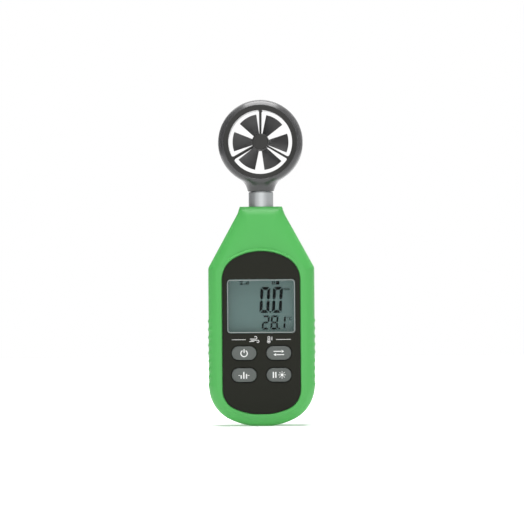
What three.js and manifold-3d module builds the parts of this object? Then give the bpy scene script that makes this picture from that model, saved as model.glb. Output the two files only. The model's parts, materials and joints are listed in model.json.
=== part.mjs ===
// Handheld weather meter: a pocket vane anemometer with a thermometer. Millimetres.
// +Z runs up the length, the front face looks towards -Y, and the origin is the middle of the foot.
import * as THREE from 'three';
import { mergeVertices } from 'three/addons/utils/BufferGeometryUtils.js';
import Module from 'manifold-3d';

const wasm = await Module();
wasm.setup();

// ---- Clearances ---------------------------------------------------------------------------
const SEAT = 0.25; // between pieces that rest on each other
const SLIP = 0.3; // round what slides, turns or lifts out of a hole
const SEAM = 0.3; // between the two housing halves

// ---- Layers through the thickness, from the front -------------------------------------------
const KEY_PROUD = 0.6; // key tops above the housing's front
const PANEL_SINK = 0.15; // panel face below the housing's front
const PANEL_THICKNESS = 1.0;
const FLOOR_THICKNESS = 1.8; // housing floor that carries the panel
const LCD_THICKNESS = 1.9;
const BACKLIGHT_THICKNESS = 2.2;
const BOARD_THICKNESS = 1.6;
const CHIP_THICKNESS = 1.4;
const BOARD_AIR = 1.8; // free space behind the board's parts
const WELL_FLOOR = 1.2; // battery well
const CELL_DIAMETER = 10.5;
const DOOR_THICKNESS = 2.0;

// ---- Housing, seen from the front -----------------------------------------------------------
const WALL = 2.0;
const EDGE_WIDTH = 4.1; // rounded edge between flank and face
const EDGE_DEPTH = 5.2;
const EDGE_TURN = 65; // degrees that the edge turns before it breaks into the face
const PANEL_MARGIN = 2.75; // flat band beside the panel
const WINDOW_MARGIN = 2.4; // panel beside the display window
const END_MARGIN = 1.75; // flat band under the panel
const CORNER_RADIUS = 18;
const END_RADIUS = 35.5;
const FOOT_HALF_WIDTH = 4.5; // flat that the housing stands on
const SHOULDER_HEIGHT = 29.6; // shoulder corner below the top edge
const SHOULDER_RADIUS = 4;
const COLLAR_HALF_WIDTH = 10.2; // at the top edge
const COLLAR_HEIGHT = 3.4; // steeper stretch round the neck
const COLLAR_FLARE = 1.1; // how much each side spreads down that stretch
const NECK_THINNING = 3.3; // how far front and back fall away at the top edge
const CROWN = 0.8; // bulge of the sloping upper faces

// ---- Face panel, display and keys ------------------------------------------------------------
const LAND_WIDTH = 1.0; // raised rim round the panel
const PANEL_CROWN = 13.65; // panel above the window
const PANEL_TOP_RADIUS = 26;
const PANEL_TOP_CORNER = 12;
const PANEL_END_RADIUS = 32;
const PANEL_END_CORNER = 10;
const PANEL_TO_TOP = 21.75; // panel apex to the housing's top edge
const WINDOW_WIDTH = 32.8;
const WINDOW_HEIGHT = 25.8;
const WINDOW_CORNER = 1.5;
const WINDOW_FLANGE = 1.1; // ledge that holds the lens behind the panel
const WINDOW_FLANGE_THICKNESS = 0.8;
const LCD_BORDER = 1.9; // glass beyond the window
const LCD_LEDGE = 3.0; // contact ledge under the backlight
const HOLDER_WALL = 0.9;
const ZEBRA_WIDTH = 1.8;
const KEY_WIDTH = 12.0;
const KEY_HEIGHT = 6.6;
const KEY_COLUMN = 8.4; // key centres from the middle
const KEY_FOOT = 19.0; // lower keys above the panel's bottom
const KEY_PITCH = 10.6;
const KEY_TO_WINDOW = 9.75; // upper keys to the window's bottom edge
const KEY_TRAVEL = 0.8;
const KEY_FLANGE = 1.1;
const KEY_FLANGE_THICKNESS = 0.8;
const MAT_THICKNESS = 1.2;
const CHIP_WIDTH = 12;
const CHIP_CORNER = 0.6;
const CRYSTAL_WIDTH = 3.0;
const CRYSTAL_HEIGHT = 7.0;
const CRYSTAL_GAP = 4.5; // chip's edge to the crystal can

// ---- Battery well and door -------------------------------------------------------------------
const CELL_LENGTH = 44.5;
const CELL_COUNT = 3;
const CELL_PITCH = 11.3;
const SPRING_LENGTH = 4.2;
const SPRING_TURNS = 3.5;
const SPRING_WIRE = 0.5;
const PLATE_THICKNESS = 0.5;
const WELL_WALL = 1.2;
const WELL_FOOT = 12.6; // inside bottom of the well
const DOOR_LIP = 1.4; // door below the well's inside
const DOOR_HEAD = 8.7; // door above the well's inside, for its screw
const DOOR_CORNER = 2.0;
const DOOR_TAB_WIDTH = 6;
const DOOR_TAB_SPREAD = 10;
const DOOR_TAB_REACH = 1.6;
const DOOR_TAB_THICKNESS = 1.3;
const DOOR_SCREW_LENGTH = 5.3;

// ---- Fasteners ---------------------------------------------------------------------------------
const SCREW_RADIUS = 1.2;
const SCREW_HEAD_RADIUS = 2.3;
const SCREW_HEAD_HEIGHT = 1.7;
const SCREW_LENGTH = 12;
const SCREW_SINK = 6.2; // case screw heads below the back
const BOSS_RADIUS = 3.0;
const POST_RADIUS = 1.2; // posts that the board rests on
const UPPER_SCREW_X = 11.5;
const UPPER_SCREW_DROP = 18.4; // below the top edge
const LOWER_SCREW_X = 13;
const LOWER_SCREW_Z = 7.6;

// ---- Grip ribs ---------------------------------------------------------------------------------
const RIB_COUNT = 9;
const RIB_PITCH = 3.85;
const RIB_RELIEF = 0.3;
const RIB_LENGTH = 3.2; // along the flank, at its buried root
const RIB_CREST = 0.6;
const RIB_FIRST = 20.0; // lowest rib's centre

// ---- Neck ----------------------------------------------------------------------------------------
const TUBE_RADIUS = 6.0;
const TUBE_BORE = 4.5;
const TUBE_SHOWN = 7.1; // between housing and head
const TUBE_FLANGE_RADIUS = 7.4;
const TUBE_FLANGE_THICKNESS = 2.0;
const TUBE_FLANGE_DROP = 9.0; // flange top below the housing's top edge
const TUBE_TAIL = 3.0; // tube below its flange
const SPIGOT_RADIUS = 5.1;
const SPIGOT_LENGTH = 3.3;
const SADDLE_THICKNESS = 1.8;
const LEAD_RADIUS = 1.2;
const LEAD_SWEEP = 8; // stretch over which the lead bends towards the board
const CONNECTOR_WIDTH = 6;
const CONNECTOR_HEIGHT = 3.5;
const CONNECTOR_DROP = 6; // connector below the upper bosses

// ---- Head ----------------------------------------------------------------------------------------
const HEAD_RADIUS = 20.6;
const FLOW_RADIUS = 15.5;
const HEAD_HALF_DEPTH = 9.5;
const LIP_RADIUS = 18.3; // crest of the rounded lip
const LIP_DEPTH = 4.7; // depth that the lip's rounding takes
const SOCKET_TOP_RADIUS = 7.9;
const SOCKET_END_RADIUS = 6.45;
const SOCKET_LENGTH = 3.4; // below the ring
const SOCKET_OVERLAP = 2.0; // up into the ring
const GUARD_RIM_RADIUS = 17.6;
const GUARD_THICKNESS = 1.35;
const GUARD_SINK = 0.55; // guard face below the lip's crest
const GUARD_FUNNEL = 0.5; // how far the rim dishes in to the flow
const ARM_COUNT = 3;
const ARM_RIM_WIDTH = 1.3;
const ARM_HUB_WIDTH = 0.9;
const ARM_FILLET = 1.0;
const BOSS_CAP_RADIUS = 3.85;
const BOSS_CAP_DEPTH = 3.6;
const BEARING_RADIUS = 1.5;
const BEARING_LENGTH = 1.8;
const SHAFT_RADIUS = 0.6;
const SHAFT_PLAY = 0.1;

// ---- Impeller --------------------------------------------------------------------------------------
const BLADE_COUNT = 6;
const BLADE_TIP_RADIUS = 13.65;
const BLADE_SPAN = 40; // degrees that each blade covers, seen along the flow
const BLADE_DEPTH = 5.6; // along the flow, from leading to trailing edge
const BLADE_THICKNESS = 0.8;
const BLADE_FIRST = 58; // degrees to the first blade's middle
const HUB_RADIUS = 4.25;
const HUB_HALF_DEPTH = 3.6;

// ---- Pickup in the head's foot -------------------------------------------------------------------
const PICKUP_BOARD_THICKNESS = 0.8;
const PICKUP_WIDTH = 3.0;
const PICKUP_HEIGHT = 1.8;
const BEAD_RADIUS = 0.7;

// ---- What follows from the sizes above -------------------------------------------------------------
const STACK = PANEL_SINK + PANEL_THICKNESS + SEAT + FLOOR_THICKNESS + SEAT + LCD_THICKNESS + SEAT
  + BACKLIGHT_THICKNESS + SEAT + BOARD_THICKNESS + SEAT + CHIP_THICKNESS;
const HOUSING_DEPTH = STACK + BOARD_AIR + WELL_FLOOR + SLIP + CELL_DIAMETER + SLIP + DOOR_THICKNESS;
const FRONT = KEY_PROUD - (HOUSING_DEPTH + KEY_PROUD) / 2; // keys and back stand level about y = 0
const BACK = FRONT + HOUSING_DEPTH;
const SEAM_Y = (FRONT + BACK) / 2;
const HALF_DEPTH = HOUSING_DEPTH / 2;

const PANEL_FRONT = FRONT + PANEL_SINK;
const PANEL_BACK = PANEL_FRONT + PANEL_THICKNESS;
const RECESS_Y = PANEL_BACK + SEAT;
const FLOOR_BACK = RECESS_Y + FLOOR_THICKNESS;
const LCD_FRONT = FLOOR_BACK + SEAT;
const LCD_BACK = LCD_FRONT + LCD_THICKNESS;
const LIGHT_FRONT = LCD_BACK + SEAT;
const LIGHT_BACK = LIGHT_FRONT + BACKLIGHT_THICKNESS;
const BOARD_FRONT = LIGHT_BACK + SEAT;
const BOARD_BACK = BOARD_FRONT + BOARD_THICKNESS;
const CHIP_FRONT = BOARD_BACK + SEAT;
const DOOR_INNER = BACK - DOOR_THICKNESS;
const WELL_RIM = DOOR_INNER - SEAT;
const CELL_Y = DOOR_INNER - SLIP - CELL_DIAMETER / 2;
const WELL_INNER = CELL_Y - CELL_DIAMETER / 2 - SLIP;
const WELL_FRONT = WELL_INNER - WELL_FLOOR;

const PANEL_HALF_WIDTH = WINDOW_WIDTH / 2 + WINDOW_MARGIN;
const FLANK = PANEL_HALF_WIDTH + PANEL_MARGIN + EDGE_WIDTH;
const PANEL_BOTTOM = EDGE_WIDTH + END_MARGIN;
const LOWER_KEY_Z = PANEL_BOTTOM + KEY_FOOT;
const UPPER_KEY_Z = LOWER_KEY_Z + KEY_PITCH;
const WINDOW_BOTTOM = UPPER_KEY_Z + KEY_TO_WINDOW;
const WINDOW_Z = WINDOW_BOTTOM + WINDOW_HEIGHT / 2;
const PANEL_TOP = WINDOW_BOTTOM + WINDOW_HEIGHT + PANEL_CROWN;
const HOUSING_TOP = PANEL_TOP + PANEL_TO_TOP;
const SHOULDER_Z = HOUSING_TOP - SHOULDER_HEIGHT;
const FACE_CENTRE_Z = SHOULDER_Z / 2;

const WELL_TOP = WELL_FOOT + SPRING_LENGTH + CELL_LENGTH + PLATE_THICKNESS + 4 * SEAT;
const WELL_HALF_WIDTH = (CELL_COUNT - 1) / 2 * CELL_PITCH + CELL_DIAMETER / 2 + SLIP;
const DOOR_BOTTOM = WELL_FOOT - DOOR_LIP;
const DOOR_TOP = WELL_TOP + DOOR_HEAD;
const DOOR_HALF_WIDTH = WELL_HALF_WIDTH + 0.6 * WELL_WALL + SLIP;
const DOOR_SCREW_Z = DOOR_TOP - SCREW_HEAD_RADIUS - WELL_WALL;
const UPPER_SCREW_Z = HOUSING_TOP - UPPER_SCREW_DROP;

const SOCKET_BOTTOM = HOUSING_TOP + TUBE_SHOWN + SEAT;
const HEAD_Z = SOCKET_BOTTOM + SOCKET_LENGTH + HEAD_RADIUS;
const TUBE_TOP = HOUSING_TOP + TUBE_SHOWN + SPIGOT_LENGTH;
const TUBE_FLANGE_TOP = HOUSING_TOP - TUBE_FLANGE_DROP;
const TUBE_FLANGE_BOTTOM = TUBE_FLANGE_TOP - TUBE_FLANGE_THICKNESS;
const TUBE_BOTTOM = TUBE_FLANGE_BOTTOM - TUBE_TAIL;

const GUARD_FACE = HEAD_HALF_DEPTH - GUARD_SINK;
const GUARD_SEAT = GUARD_FACE - GUARD_THICKNESS - SEAT;
const BOSS_CAP_INNER = GUARD_FACE - BOSS_CAP_DEPTH;

const ARC_STEPS = 3; // facets in an eighth of a turn
const RING_FACETS = 42; // facets round the head

const radians = THREE.MathUtils.degToRad;

// ---- Materials -------------------------------------------------------------------------------------
const finish = (color, roughness, metalness = 0) =>
  new THREE.MeshStandardMaterial({ color, roughness, metalness });
const greenPlastic = finish(0x5dbc68, 0.5);
const blackPlastic = finish(0x35363a, 0.45);
const panelPlastic = finish(0x2b2c28, 0.55);
const keyRubber = finish(0x6e7370, 0.7);
const clearPlastic = finish(0xcfd8da, 0.1);
const displayGlass = finish(0x6e8082, 0.25);
const whitePlastic = finish(0xe8e8e4, 0.5);
const zebraRubber = finish(0xd98f9c, 0.8);
const boardGreen = finish(0x1f5b35, 0.5);
const chipBlack = finish(0x151516, 0.4);
const satinAluminium = finish(0xb9bbbd, 0.35, 1);
const steel = finish(0x9fa2a5, 0.3, 1);
const brass = finish(0xb59a52, 0.35, 1);
const cellJacket = finish(0x2f6f9f, 0.4);
const leadSheath = finish(0x202124, 0.6);

// ---- Tools ---------------------------------------------------------------------------------------

/** Closed geometry as a manifold solid, turned right side out. */
function solid(geometry) {
  const bare = new THREE.BufferGeometry();
  bare.setAttribute('position', geometry.getAttribute('position').clone());
  if (geometry.index) {
    bare.setIndex(geometry.index.clone());
  }
  const merged = mergeVertices(bare, 1e-4);
  const vertices = merged.getAttribute('position').array;
  const corner = (index) => new THREE.Vector3().fromArray(vertices, 3 * index);
  const faces = [];
  let volume = 0;
  for (let i = 0; i < merged.index.count; i += 3) {
    const [a, b, c] = [0, 1, 2].map((k) => merged.index.getX(i + k));
    if (a !== b && b !== c && c !== a) {
      faces.push([a, b, c]);
      volume += corner(a).dot(corner(b).cross(corner(c)));
    }
  }
  const facesOut = volume > 0 ? faces : faces.map(([a, b, c]) => [a, c, b]);
  return new wasm.Manifold(new wasm.Mesh({
    numProp: 3,
    vertProperties: new Float32Array(vertices),
    triVerts: new Uint32Array(facesOut.flat()),
  }));
}

const join = (first, ...others) => others.reduce((sum, other) => sum.add(other), first);
const cut = (first, ...others) => others.reduce((rest, other) => rest.subtract(other), first);

/** A manifold solid as three.js geometry. */
function geometryOf(manifold) {
  const mesh = manifold.getMesh();
  const geometry = new THREE.BufferGeometry();
  geometry.setAttribute('position', new THREE.BufferAttribute(new Float32Array(mesh.vertProperties), 3));
  geometry.setIndex(new THREE.BufferAttribute(new Uint32Array(mesh.triVerts), 1));
  geometry.computeVertexNormals();
  return geometry;
}

/** A named piece of the meter. */
function piece(name, manifold, material) {
  const mesh = new THREE.Mesh(geometryOf(manifold), material);
  mesh.name = name;
  return mesh;
}

/** Points of an arc about (x, z), both ends included, angles in radians. */
function arc(x, z, radius, from, to, steps) {
  return new THREE.EllipseCurve(x, z, radius, radius, from, to, to < from).getPoints(steps);
}

/** Corner b rounded between its neighbours a and c. */
function bend(a, b, c, reach, steps) {
  const start = b.clone().add(a.clone().sub(b).setLength(reach));
  const end = b.clone().add(c.clone().sub(b).setLength(reach));
  return new THREE.QuadraticBezierCurve(start, b, end).getPoints(steps);
}

/** Points between a and b, without either end. */
function between(a, b, count) {
  return Array.from({ length: count }, (_, i) => a.clone().lerp(b, (i + 1) / (count + 1)));
}

/** Where the line through a and b meets the line through c and d. */
function crossing(a, b, c, d) {
  const along = b.clone().sub(a);
  const across = d.clone().sub(c);
  const t = c.clone().sub(a).cross(across) / along.cross(across);
  return a.clone().addScaledVector(along, t);
}

/** Segment a to b moved sideways: to the right of its run by a positive distance. */
function moved(a, b, distance) {
  const run = b.clone().sub(a).normalize();
  const side = new THREE.Vector2(run.y, -run.x).multiplyScalar(distance);
  return [a.clone().add(side), b.clone().add(side)];
}

/** The right half of an outline, from the middle of the top, closed by its mirror image. */
function mirrored(half) {
  const left = half.filter((p) => Math.abs(p.x) > 1e-6).map((p) => new THREE.Vector2(-p.x, p.y));
  return [...half, ...left.reverse()];
}

/** Solid between two depths, from an outline in X and Z, its ends bevelled by edge. */
function plate(outline, front, back, edge = 0) {
  const shape = outline instanceof THREE.Shape ? outline : new THREE.Shape(outline);
  const geometry = new THREE.ExtrudeGeometry(shape, {
    depth: back - front - 2 * edge,
    bevelEnabled: edge > 0,
    bevelThickness: edge,
    bevelSize: edge,
    bevelOffset: -edge,
    bevelSegments: 1,
    curveSegments: ARC_STEPS,
  });
  geometry.rotateX(Math.PI / 2);
  geometry.translate(0, back - edge, 0);
  return solid(geometry);
}

/** Box from its limits. */
function block(x0, x1, y0, y1, z0, z1) {
  const geometry = new THREE.BoxGeometry(x1 - x0, y1 - y0, z1 - z0);
  geometry.translate((x0 + x1) / 2, (y0 + y1) / 2, (z0 + z1) / 2);
  return solid(geometry);
}

/** Solid of revolution about the flow axis Y, from [radius, y] points. */
function turnedAlongY(profile, segments) {
  const points = profile.map(([radius, height]) => new THREE.Vector2(radius, height));
  return solid(new THREE.LatheGeometry(points, segments));
}

/** Solid of revolution about the upright axis Z, from [radius, z] points. */
function turnedAlongZ(profile, segments) {
  const points = profile.map(([radius, height]) => new THREE.Vector2(radius, height));
  return solid(new THREE.LatheGeometry(points, segments).rotateX(Math.PI / 2));
}

/** Round pin about a line along Y. */
function pinAlongY(x, z, radius, y0, y1, segments = 12) {
  return turnedAlongY([[0, y0], [radius, y0], [radius, y1], [0, y1]], segments).translate([x, 0, z]);
}

/** Rectangle with round corners, in X and Z. */
function roundedRectangle(x, z, width, height, radius) {
  const [w, h] = [width / 2, height / 2];
  const shape = new THREE.Shape();
  shape.absarc(x + w - radius, z + h - radius, radius, 0, Math.PI / 2);
  shape.absarc(x - w + radius, z + h - radius, radius, Math.PI / 2, Math.PI);
  shape.absarc(x - w + radius, z - h + radius, radius, Math.PI, 1.5 * Math.PI);
  shape.absarc(x + w - radius, z - h + radius, radius, 1.5 * Math.PI, 2 * Math.PI);
  return shape;
}

/** Skin over a row of rings with equal numbers of points, its flat ends closed by fans. */
function loft(rings) {
  const count = rings[0].length;
  const positions = [];
  const push = (...corners) => corners.forEach((p) => positions.push(p.x, p.y, p.z));
  for (let r = 0; r + 1 < rings.length; r += 1) {
    for (let i = 0; i < count; i += 1) {
      const j = (i + 1) % count;
      const [a, b, c, d] = [rings[r][i], rings[r][j], rings[r + 1][j], rings[r + 1][i]];
      push(a, b, c, a, c, d);
    }
  }
  const [first, last] = [rings[0], rings.at(-1)];
  const [firstHub, lastHub] = [first, last].map((ring) =>
    new THREE.Vector3(0, ring[0].y, FACE_CENTRE_Z));
  for (let i = 0; i < count; i += 1) {
    const j = (i + 1) % count;
    push(firstHub, first[j], first[i], lastHub, last[i], last[j]);
  }
  const geometry = new THREE.BufferGeometry();
  geometry.setAttribute('position', new THREE.Float32BufferAttribute(positions, 3));
  return solid(geometry);
}

// ---- Outlines --------------------------------------------------------------------------------------

/**
 * Right half of an arched end, from the flank to the middle, as points of x and height.
 * Height 0 is the end's outermost level. The arch may stop at a flat.
 */
function archHalf(halfWidth, endRadius, cornerRadius, flatHalf, inset) {
  const cornerX = halfWidth - cornerRadius;
  const rise = Math.sqrt((endRadius - cornerRadius) ** 2 - cornerX ** 2);
  const turn = Math.atan2(rise, cornerX);
  const level = Math.sqrt(endRadius ** 2 - flatHalf ** 2);
  const stop = Math.asin((level - inset) / (endRadius - inset));
  const corner = arc(cornerX, rise, cornerRadius - inset, 0, turn, 5);
  const end = arc(0, 0, endRadius - inset, turn, stop, 4);
  return [...corner, ...end.slice(1)].map((p) => new THREE.Vector2(p.x, p.y - level));
}

/** The housing's outline, moved in by inset. */
function housingOutline(inset) {
  const top = [new THREE.Vector2(0, HOUSING_TOP), new THREE.Vector2(COLLAR_HALF_WIDTH, HOUSING_TOP)];
  const waist = new THREE.Vector2(COLLAR_HALF_WIDTH + COLLAR_FLARE, HOUSING_TOP - COLLAR_HEIGHT);
  const shoulder = new THREE.Vector2(FLANK, SHOULDER_Z);
  const arch = archHalf(FLANK, END_RADIUS, CORNER_RADIUS, FOOT_HALF_WIDTH, inset);
  const bottom = arch.map((p) => new THREE.Vector2(p.x, -p.y));
  const topLine = moved(top[0], top[1], inset);
  const collarLine = moved(top[1], waist, inset);
  const shoulderLine = moved(waist, shoulder, inset);
  const flankLine = moved(shoulder, new THREE.Vector2(FLANK, 0), inset);
  const isCollarLeft = crossing(...topLine, ...collarLine).y > crossing(...collarLine, ...shoulderLine).y;
  const b = crossing(...topLine, ...(isCollarLeft ? collarLine : shoulderLine));
  const c = crossing(...(isCollarLeft ? collarLine : topLine), ...shoulderLine);
  const d = crossing(...shoulderLine, ...flankLine);
  const turn = Math.atan2(shoulder.x - waist.x, waist.y - shoulder.y);
  const reach = Math.max(SHOULDER_RADIUS - inset, 1) * Math.tan(turn / 2);
  const rounding = bend(c, d, bottom[0], reach, 3);
  return mirrored([
    new THREE.Vector2(0, topLine[0].y),
    ...between(topLine[0], b, 1),
    b,
    c,
    ...between(c, rounding[0], 5),
    ...rounding,
    ...between(rounding.at(-1), bottom[0], 3),
    ...bottom,
  ]);
}

/** The face panel's outline, moved in by inset. */
function panelOutline(inset) {
  const top = archHalf(PANEL_HALF_WIDTH, PANEL_TOP_RADIUS, PANEL_TOP_CORNER, 0, inset);
  const end = archHalf(PANEL_HALF_WIDTH, PANEL_END_RADIUS, PANEL_END_CORNER, 0, inset);
  return mirrored([
    ...top.map((p) => new THREE.Vector2(p.x, PANEL_TOP + p.y)).reverse(),
    ...end.map((p) => new THREE.Vector2(p.x, PANEL_BOTTOM - p.y)),
  ]);
}

/** Where the ray from the face's centre through a point leaves a closed outline. */
function rayHit(outline, point) {
  const centre = new THREE.Vector2(0, FACE_CENTRE_Z);
  const ray = point.clone().sub(centre);
  for (let i = 0; i < outline.length; i += 1) {
    const a = outline[i];
    const edge = outline[(i + 1) % outline.length].clone().sub(a);
    const toEdge = a.clone().sub(centre);
    const spread = ray.cross(edge);
    const alongRay = toEdge.cross(edge) / spread;
    const alongEdge = toEdge.cross(ray) / spread;
    if (alongRay > 0 && alongEdge >= 0 && alongEdge <= 1) {
      return centre.clone().addScaledVector(ray, alongRay);
    }
  }
  throw new Error('the outline does not surround the centre');
}

// ---- Housing halves --------------------------------------------------------------------------------

/** How far the face falls towards the seam at a height, beyond the flat lower part. */
function neckFall(z) {
  return NECK_THINNING * Math.max(0, (z - SHOULDER_Z) / SHOULDER_HEIGHT);
}

/** A ring at a depth measured from the seam, as a share of the depth there. */
function ringAt(side, inset, share, depth) {
  return housingOutline(inset).map((p) => {
    const reach = (depth - neckFall(p.y)) * share;
    return new THREE.Vector3(p.x, SEAM_Y + side * reach, p.y);
  });
}

/** Rings of the rounded edge, from flank to face. */
function edgeRings(side, inset, depth, steps) {
  const turn = radians(EDGE_TURN);
  return Array.from({ length: steps + 1 }, (_, i) => {
    const angle = turn * i / steps;
    const width = EDGE_WIDTH * (1 - Math.cos(angle)) / (1 - Math.cos(turn));
    const rise = EDGE_DEPTH * Math.sin(angle) / Math.sin(turn);
    return ringAt(side, inset + width, (depth - EDGE_DEPTH + rise) / depth, depth);
  });
}

/** Rings over a sloping face, from the edge's crease to an inner outline. */
function slopeRings(side, crease, inner) {
  const steps = [1 / 3, 2 / 3];
  return steps.map((share) => crease.map((p, i) => {
    const spot = new THREE.Vector2(p.x, p.z).lerp(inner[i], share);
    const span = inner[i].distanceTo(new THREE.Vector2(p.x, p.z));
    const swell = CROWN * Math.min(1, span / PANEL_TO_TOP) * Math.sin(Math.PI * share);
    const reach = HALF_DEPTH - neckFall(spot.y) + swell;
    return new THREE.Vector3(spot.x, SEAM_Y + side * reach, spot.y);
  }));
}

/** A ring's outline with what lies above a level drawn down to it, towards the face's centre. */
function flatCore(ring, level) {
  return ring.map((p) => {
    const pull = Math.min(1, (level - FACE_CENTRE_Z) / Math.max(p.z - FACE_CENTRE_Z, 1e-6));
    const isAbove = p.z > level;
    return isAbove ? new THREE.Vector2(p.x * pull, level) : new THREE.Vector2(p.x, p.z);
  });
}

/** Outer form of the front half, with the raised land round the panel. */
function frontForm() {
  const seam = ringAt(-1, 0, SEAM / 2 / HALF_DEPTH, HALF_DEPTH);
  seam.forEach((p) => p.setY(SEAM_Y - SEAM / 2));
  const edge = edgeRings(-1, 0, HALF_DEPTH, 3);
  const crease = edge.at(-1);
  const landOutline = panelOutline(-LAND_WIDTH);
  const inner = crease.map((p) => rayHit(landOutline, new THREE.Vector2(p.x, p.z)));
  const landFoot = inner.map((p) =>
    new THREE.Vector3(p.x, SEAM_Y - HALF_DEPTH + neckFall(p.y), p.y));
  const land = inner.map((p) => new THREE.Vector3(p.x, FRONT, p.y));
  return loft([seam, ...edge, ...slopeRings(-1, crease, inner), landFoot, land]);
}

/** Outer form of the rear half: flat where the door is, falling away above. */
function rearForm() {
  const seam = ringAt(1, 0, SEAM / 2 / HALF_DEPTH, HALF_DEPTH);
  seam.forEach((p) => p.setY(SEAM_Y + SEAM / 2));
  const edge = edgeRings(1, 0, HALF_DEPTH, 3);
  const crease = edge.at(-1);
  const inner = flatCore(crease, SHOULDER_Z);
  const flat = inner.map((p) => new THREE.Vector3(p.x, BACK, p.y));
  return loft([seam, ...edge, ...slopeRings(1, crease, inner), flat]);
}

/** What lies inside one half at a depth below its skin, reaching past the seam. */
function core(side, wall) {
  const depth = HALF_DEPTH - wall;
  const flatReach = (side < 0 ? SEAM_Y - FLOOR_BACK : DOOR_INNER - SEAM_Y) + WALL - wall;
  const flatTop = SHOULDER_Z + (depth - flatReach) / NECK_THINNING * SHOULDER_HEIGHT;
  const mouth = ringAt(side, wall, 0, depth);
  mouth.forEach((p) => p.setY(SEAM_Y - side * WALL));
  const edge = edgeRings(side, wall, depth, 2).slice(0, -1);
  const rim = housingOutline(wall + EDGE_WIDTH).map((p) => {
    const reach = Math.min(flatReach, depth - neckFall(p.y));
    return new THREE.Vector3(p.x, SEAM_Y + side * reach, p.y);
  });
  const flat = flatCore(rim, flatTop).map((p) =>
    new THREE.Vector3(p.x, SEAM_Y + side * flatReach, p.y));
  return loft([mouth, ...edge, rim, flat]);
}

/** Grip ribs on both flanks of one half. */
function gripRibs(side) {
  const turn = radians(EDGE_TURN);
  const fade = 0.8; // share of the rounded edge that the ribs climb
  const root = 1.2; // how deep a rib is rooted in the wall
  const section = [[FLANK - root, SEAM / 2], [FLANK + RIB_RELIEF, SEAM / 2]];
  for (const share of [0, fade / 2, fade]) {
    const angle = turn * share;
    const width = EDGE_WIDTH * (1 - Math.cos(angle)) / (1 - Math.cos(turn));
    const rise = HALF_DEPTH - EDGE_DEPTH + EDGE_DEPTH * Math.sin(angle) / Math.sin(turn);
    const relief = RIB_RELIEF * (1 - 1.5 * (share / fade) ** 2);
    section.push([FLANK - width + relief, rise]);
  }
  section.push([section.at(-1)[0] - root, section.at(-1)[1] - root]);
  const ribs = [];
  for (const flank of [-1, 1]) {
    const shape = new THREE.Shape(section.map(([x, depth]) =>
      new THREE.Vector2(flank * x, SEAM_Y + side * depth)));
    for (let i = 0; i < RIB_COUNT; i += 1) {
      const geometry = new THREE.ExtrudeGeometry(shape, {
        depth: RIB_CREST,
        bevelThickness: (RIB_LENGTH - RIB_CREST) / 2,
        bevelSize: 2 * RIB_RELIEF,
        bevelOffset: -2 * RIB_RELIEF,
        bevelSegments: 1,
      });
      geometry.translate(0, 0, RIB_FIRST + i * RIB_PITCH - RIB_CREST / 2);
      ribs.push(solid(geometry));
    }
  }
  return ribs;
}

/** Plates that trap the tube's flange in one half, rooted in its wall. */
function neckSaddles(side) {
  const [y0, y1] = [side * SEAM / 2, side * HALF_DEPTH].sort((a, b) => a - b);
  const saddles = [TUBE_FLANGE_TOP + SEAT, TUBE_FLANGE_BOTTOM - SEAT - SADDLE_THICKNESS].map((bottom) =>
    block(-FLANK, FLANK, SEAM_Y + y0, SEAM_Y + y1, bottom, bottom + SADDLE_THICKNESS));
  return join(...saddles).intersect(core(side, WALL / 2));
}

const screwSpots = [
  [-UPPER_SCREW_X, UPPER_SCREW_Z],
  [UPPER_SCREW_X, UPPER_SCREW_Z],
  [-LOWER_SCREW_X, LOWER_SCREW_Z],
  [LOWER_SCREW_X, LOWER_SCREW_Z],
];
const keySpots = [
  ['power_key', -KEY_COLUMN, UPPER_KEY_Z],
  ['unit_key', KEY_COLUMN, UPPER_KEY_Z],
  ['max_avg_key', -KEY_COLUMN, LOWER_KEY_Z],
  ['hold_light_key', KEY_COLUMN, LOWER_KEY_Z],
];
const cellColumns = Array.from({ length: CELL_COUNT }, (_, i) => (i - (CELL_COUNT - 1) / 2) * CELL_PITCH);

const postX = FLANK - WALL - SLIP - 2.0;
const postRows = [UPPER_KEY_Z - KEY_PITCH / 2, WINDOW_Z + WINDOW_HEIGHT / 4];

/** Clearance for the neck tube and its flange through a half. */
function neckBore() {
  const bore = TUBE_RADIUS + SEAT;
  return turnedAlongZ([[0, TUBE_BOTTOM - WALL], [bore, TUBE_BOTTOM - WALL],
    [bore, HOUSING_TOP + WALL], [0, HOUSING_TOP + WALL]], 28);
}

function frontShell() {
  const form = frontForm();
  const posts = [];
  for (const z of postRows) {
    for (const x of [-postX, postX]) {
      posts.push(pinAlongY(x, z, POST_RADIUS, FRONT + WALL, BOARD_FRONT - SEAT, 8));
    }
  }
  const bosses = screwSpots.map(([x, z]) =>
    pinAlongY(x, z, BOSS_RADIUS, FRONT + WALL, SEAM_Y - SEAM / 2));
  const shell = join(cut(form, core(-1, WALL)), ...posts, ...bosses, neckSaddles(-1), ...gripRibs(-1));
  const recess = plate(panelOutline(-SLIP), FRONT - WALL, RECESS_Y);
  const windowHole = plate(roundedRectangle(0, WINDOW_Z, WINDOW_WIDTH + 2 * (WINDOW_FLANGE + SLIP),
    WINDOW_HEIGHT + 2 * (WINDOW_FLANGE + SLIP), WINDOW_CORNER), FRONT, LCD_FRONT);
  const keyHoles = keySpots.map(([, x, z]) =>
    plate(keyOutline(x, z, SLIP + 0.1), FRONT, LCD_FRONT));
  const pilots = screwSpots.map(([x, z]) =>
    pinAlongY(x, z, SCREW_RADIUS + SLIP, SEAM_Y - HALF_DEPTH / 2 - 1, SEAM_Y, 8));
  return cut(shell, recess, windowHole, ...keyHoles, ...pilots, neckBore());
}

const tabSpots = [-DOOR_TAB_SPREAD, DOOR_TAB_SPREAD];
const DOOR_MIDDLE_Z = (DOOR_BOTTOM + DOOR_TOP) / 2;

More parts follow.
